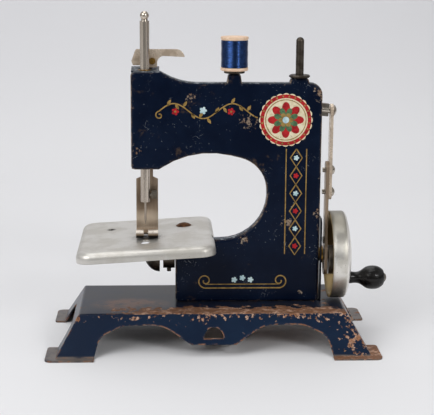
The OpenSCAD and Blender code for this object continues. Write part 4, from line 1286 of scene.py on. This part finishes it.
@dataclass
class Metalwork:
    """The machine's own solids, each given the finish of its real material."""

    nodes: dict[str, Piece]
    rim_mm: float = 1.6

    def middle(self, node: str) -> Triple:
        """Middle of a solid in millimetres."""
        low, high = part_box(node)
        return tuple((low + high) / 2 / MM)

    def marked(self) -> dict[str, Finish]:
        """Finishes that have marks of their own.

        Returns:
            Node name to finish.
        """
        foot, flat, upright = self.middle("presser_foot"), (1, 1, 0), (0, 1, 1)
        # Painted shade and painted highlight bands on the bent strip, and painted shade under and painted
        # highlight on its rolled toes
        brown_nickel = WornMetal(
            "nickel_plate_rolled_worn", "#a8947f", "#8a7763", rough=(0.30, 0.48), grain_along=(1, 1, 8),
            spot_level=0.74, metallic=0.7,
            marks=(
                # Painted shade band near the needle bar's end and a painted highlight band lower down the
                # strip
                Mark((-44.7, 0.0, 86.0), (0.5, 0, 1), 7.5, 1.5, "#6f5d4c", (-0.6, 0.4)),
                Mark((-44.7, 0.0, 73.5), (0.5, 0, 1), 6.5, 2.0, "#d6c4ae", (-0.6, 0.4)),
                # Painted shade under the rolled toes' front and a painted highlight on their tops
                Mark((0.0, -8.4, 63.4), upright, 3.6, 2.8, "#1a1410", (0.0, 0.4)),
                Mark((0.0, -8.4, 68.9), upright, 2.4, 1.4, "#f0e6da", (0.15, 0.5)),
            ),
        )
        # Grease about the screw, the presser and the spare hole, and grime with painted shade close under the
        # presser's toes
        sheet = WornMetal(
            "aluminium_sheet_pressed", "#d3d0ca", "#c3bfb7", spot="#77716a", rough=(0.36, 0.46), dull_mm=16.0,
            spot_level=0.69, spot_mm=1.4, round_mm=1.0, metallic=0.7,
            marks=(
                Mark(self.middle("plate_screw"), flat, 7.5, 3.0, "#6a5138"),
                Mark(foot, flat, 13.0, 5.0, "#6d675f"),
                Mark((-67.7, 24.5, 0.0), flat, 3.4, 1.8, "#3b352e", (0.2, 0.5)),
                # Grime and painted shade under the presser's toes
                Mark(foot, flat, 8.5, 4.5, "#2f2a25", (0.2, 0.45)),
            ),
        )
        low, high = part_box("handwheel")
        hollow = (high.z - low.z) / 2 / MM - self.rim_mm
        # Painted shade above and below, unpolished in the hollow, a painted highlight on the face and
        # yellowed behind
        cast = WornMetal(
            "aluminium_cast", "#eae7e0", "#d4d0c6", spot="#6f695e", rough=(0.30, 0.42), dull_mm=8.0,
            spot_level=0.66, spot_mm=1.1, round_mm=4.0, metallic=0.85,
            marks=(
                # Painted shade on the rim's upper and lower sides
                Side((0, 0, 0.55), "#99958a", 0.42),
                Side((0, 0, -0.55), "#8a8579", 0.42),
                Mark(self.middle("handwheel"), upright, hollow, hollow - 0.3, "#86734f", (-1.0, 0.0)),
                # Painted highlight on the face that looks right, away from the panel
                Side(RIGHT, "#efece6", 0.34),
                Side(LEFT, "#b8a276", 0.7),
            ),
        )
        rolled = dict.fromkeys(("presser_foot", "rod_lower"), brown_nickel)
        return {**rolled, "cloth_plate": sheet, "handwheel": cast}

    def finishes(self) -> dict[str, Finish]:
        """Finish of each solid.

        Returns:
            Node name to finish.
        """
        corner, middle = tuple(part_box("body_panel")[0] / MM), self.middle("base_tray")
        panel = PanelEnamel("gloss_enamel_dipped_panel", "#030d21", "#0a172c", corner_mm=corner)
        base = BaseEnamel(
            "gloss_enamel_dipped_base", "#061931", "#0d2139", gloss=0.22, bare="#c3a08a", middle_mm=middle
        )
        strip = WornEnamel("black_enamel_steel_strip", "#0c0f16", "#1b1e26")
        rusty = WornMetal("steel_rusted", "#6b4a30", "#4a3020", "#8a5a30", (0.55, 0.75), dull_mm=2.0)
        birch = TurnedWood("birch_turned", "#ebd0b8", "#dcb898", "#bb8f6b", 0.5)
        black_wood = TurnedWood(
            "beech_black_lacquered", "#070606", "#0e0c0b", "#1b1613", 0.3, coat=0.25, round_mm=1.5
        )
        brass = WornMetal("brass_turned", "#b08a48", "#7d6030", rough=(0.28, 0.45))
        nickel = WornMetal(
            "nickel_plate_polished", "#cdc2b5", "#a2968a", rough=(0.18, 0.34), grain_along=(1, 1, 24),
            metallic=0.95,
        )
        pale_nickel = WornMetal(
            "nickel_plate_stamped", "#e0cfbb", "#b8a692", rough=(0.24, 0.40), spot_level=0.73, metallic=0.45
        )
        black = WornMetal("steel_oil_blackened", "#5a534b", "#3a342e", rough=(0.35, 0.55))
        bright = WornMetal("steel_turned_bright", "#c4bcb0", "#9b9184", rough=(0.2, 0.36), dull_mm=3.0)
        steel = WornMetal("steel_turned", "#8b857c", "#6a6157", rough=(0.3, 0.5))
        groups: tuple[tuple[Finish, str], ...] = (
            (base, "base_tray"), (panel, "body_panel"), (strip, "shaft_bracket plate_bracket"),
            (rusty, "plate_screw"), (birch, "spool"), (black_wood, "crank_handle"),
            (brass, "lifter_pin needle_bar_bushes shaft_bushes"), (nickel, "needle_bar needle"),
            (pale_nickel, "presser_lifter rod_upper"), (bright, "rod_screws beam_stub"),
            (black, "thread_spindle spindle_disc looper shaft_collar collar_screw wheel_screw"),
        )
        named = {node: finish for finish, nodes in groups for node in nodes.split()} | self.marked()
        # Whatever isn't named is plain turned steel
        return {n: named.get(n, steel) for n in self.nodes}

    def build(self) -> dict[str, Material]:
        """Dresses every solid, making each finish once.

        Returns:
            Node name to its material.
        """
        made: dict[str, Material] = {}
        worn: dict[str, Material] = {}
        for name, finish in self.finishes().items():
            if finish.name not in made:
                made[finish.name] = finish.material()
            worn[name] = made[finish.name]
            dress(self.nodes[name], worn[name])
            LOG.info("%s: %s", name, finish.name)
        return worn


@dataclass
class Studio:
    """Pale sweep, soft lamps and the camera; in metres but for what is named otherwise."""

    reach: float = 2.2
    front_y: float = -0.45
    wall_y: float = 1.2
    bend: float = 0.7
    bend_steps: int = 12
    pale: str = "#e8e8ea"
    # Painted shade: the sweep darkens towards the wall between the fade depths
    far: str = "#dcdcdf"
    fade: Point = (0.6, 1.0)
    focal_px: float = 1249.98
    sensor_mm: float = 36.0
    azimuth: float = -2.46
    pitch: float = 12.11
    roll: float = -0.36
    aim_mm: Triple = (3.09, -0.13, 81.57)
    distance_mm: float = 769.95
    # Light from all round, from the screens at the left and the right, and level with the floor
    air: float = 0.34
    screens: Point = (0.30, 0.85)
    screen_light: Point = (0.60, 0.45)
    skirting: Point = (0.04, 0.40)
    skirting_light: float = 0.08
    below: Point = (0.0, 0.05)
    # Name, place, size and power in watts of each lamp, and the height they are aimed at
    lamps: tuple[tuple[str, Triple, float, float], ...] = (
        ("key", (-0.85, -0.9, 1.0), 0.9, 9.0),
        ("fill", (0.62, -0.95, 0.62), 0.28, 3.6),
        ("top", (-0.1, -0.05, 1.5), 0.9, 4.6),
        ("backdrop", (0.0, 0.75, 1.2), 0.8, 3.0),
    )
    lit_z: float = 0.08

    def build(self) -> None:
        """Makes the stage.

        The sweep comes first, then the light and the camera.
        """
        self.build_sweep()
        self.build_light()
        self.build_camera()

    def build_sweep(self) -> None:
        """Makes the floor, which bends up into a wall behind the machine."""
        start = self.wall_y - self.bend
        quarter = [pi / 2 * i / self.bend_steps for i in range(self.bend_steps + 1)]
        bent = [(start + self.bend * sin(t), self.bend * (1 - cos(t))) for t in quarter]
        profile = [(self.front_y, 0.0), *bent, (self.wall_y, self.reach)]
        points = [(x, y, z) for y, z in profile for x in (-self.reach, self.reach)]
        faces = [(2 * i, 2 * i + 1, 2 * i + 3, 2 * i + 2) for i in range(len(profile) - 1)]
        sweep = add_mesh("studio_sweep", points, faces)
        soften(sweep)
        g = Graph(bpy.data.materials.new("matt_paper_sweep"))
        # Painted shade, darker further back
        depth = g.band(g.add("TexCoord", out="Object"), BACK, *self.fade)
        tone = g.layers(self.pale, (depth, self.far))
        dress(sweep, g.finish(None, 0.0, Base_Color=tone, Roughness=0.9, Specular_IOR_Level=0.0))

    def build_light(self) -> None:
        """Hangs the lamps and sets the pale surroundings."""
        g = Graph(bpy.data.worlds.new("studio_air"))
        way = g.add("TexCoord", out="Generated")
        # White screens stand at both sides, the left one lit more, and the room behind the camera is dim
        sides = [
            g.combine("MULTIPLY", g.band(way, side, *self.screens), light)
            for side, light in zip((LEFT, RIGHT), self.screen_light)
        ]
        level = g.combine("ADD", *sides, self.air)
        # Little light comes in level with the floor, so that it is dark under the tray
        clear = g.combine("MAXIMUM", g.band(way, UP, *self.skirting), g.band(way, DOWN, *self.below))
        above = g.add("MapRange", {"Value": clear, "To Min": self.skirting_light, "To Max": 1.0})
        glow = g.add("Background", {"Strength": g.combine("MULTIPLY", level, above)})
        g.add("OutputWorld", {"Surface": glow})
        bpy.context.scene.world = g.owner
        for name, place, size, power in self.lamps:
            lamp = bpy.data.lights.new(name, "AREA")
            lamp.energy, lamp.size = power, size
            hung = bpy.data.objects.new(name, lamp)
            hung.location = place
            target = Vector((0, max(place[1], 0), self.lit_z))
            hung.rotation_euler = (target - Vector(place)).to_track_quat("-Z", "Y").to_euler()
            bpy.context.scene.collection.objects.link(hung)

    def build_camera(self) -> None:
        """Sets the camera as the photograph was taken."""
        a, p, r = (radians(v) for v in (self.azimuth, self.pitch, self.roll))
        back = Vector((sin(a) * cos(p), -cos(a) * cos(p), sin(p)))
        right = Vector((cos(a), sin(a), 0))
        up = back.cross(right)
        low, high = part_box("base_tray")
        aim = Vector(((low.x + high.x) / 2, (low.y + high.y) / 2, 0)) + Vector(self.aim_mm) * MM
        eye = aim + back * self.distance_mm * MM
        axes = (right * cos(r) - up * sin(r), right * sin(r) + up * cos(r), back)
        lens = bpy.data.cameras.new("camera")
        lens.sensor_width = self.sensor_mm
        lens.lens = self.focal_px * self.sensor_mm / max(IMAGE_SIZE)
        camera = bpy.data.objects.new("camera", lens)
        camera.matrix_world = Matrix.Translation(eye) @ Matrix(axes).transposed().to_4x4()
        bpy.context.scene.collection.objects.link(camera)
        bpy.context.scene.camera = camera


def main() -> None:
    """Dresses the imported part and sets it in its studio."""
    logging.basicConfig(level=logging.INFO, format="%(name)s: %(message)s")
    bpy.ops.wm.read_factory_settings(use_empty=True)
    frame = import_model()
    bpy.context.scene.view_settings.view_transform = "Standard"
    worn = Metalwork(frame["nodes"]).build()
    LOG.info("%s pressed", ClothPlate().build(worn["cloth_plate"]).name)
    LOG.info("%s bent", PresserFoot().build(worn["presser_foot"]).name)
    for piece in (*Spool().build(worn["spool"], worn["spindle_disc"]), *Ornament().build()):
        LOG.info("%s made", piece.name)
    Studio().build()


if __name__ == "__main__":
    main()
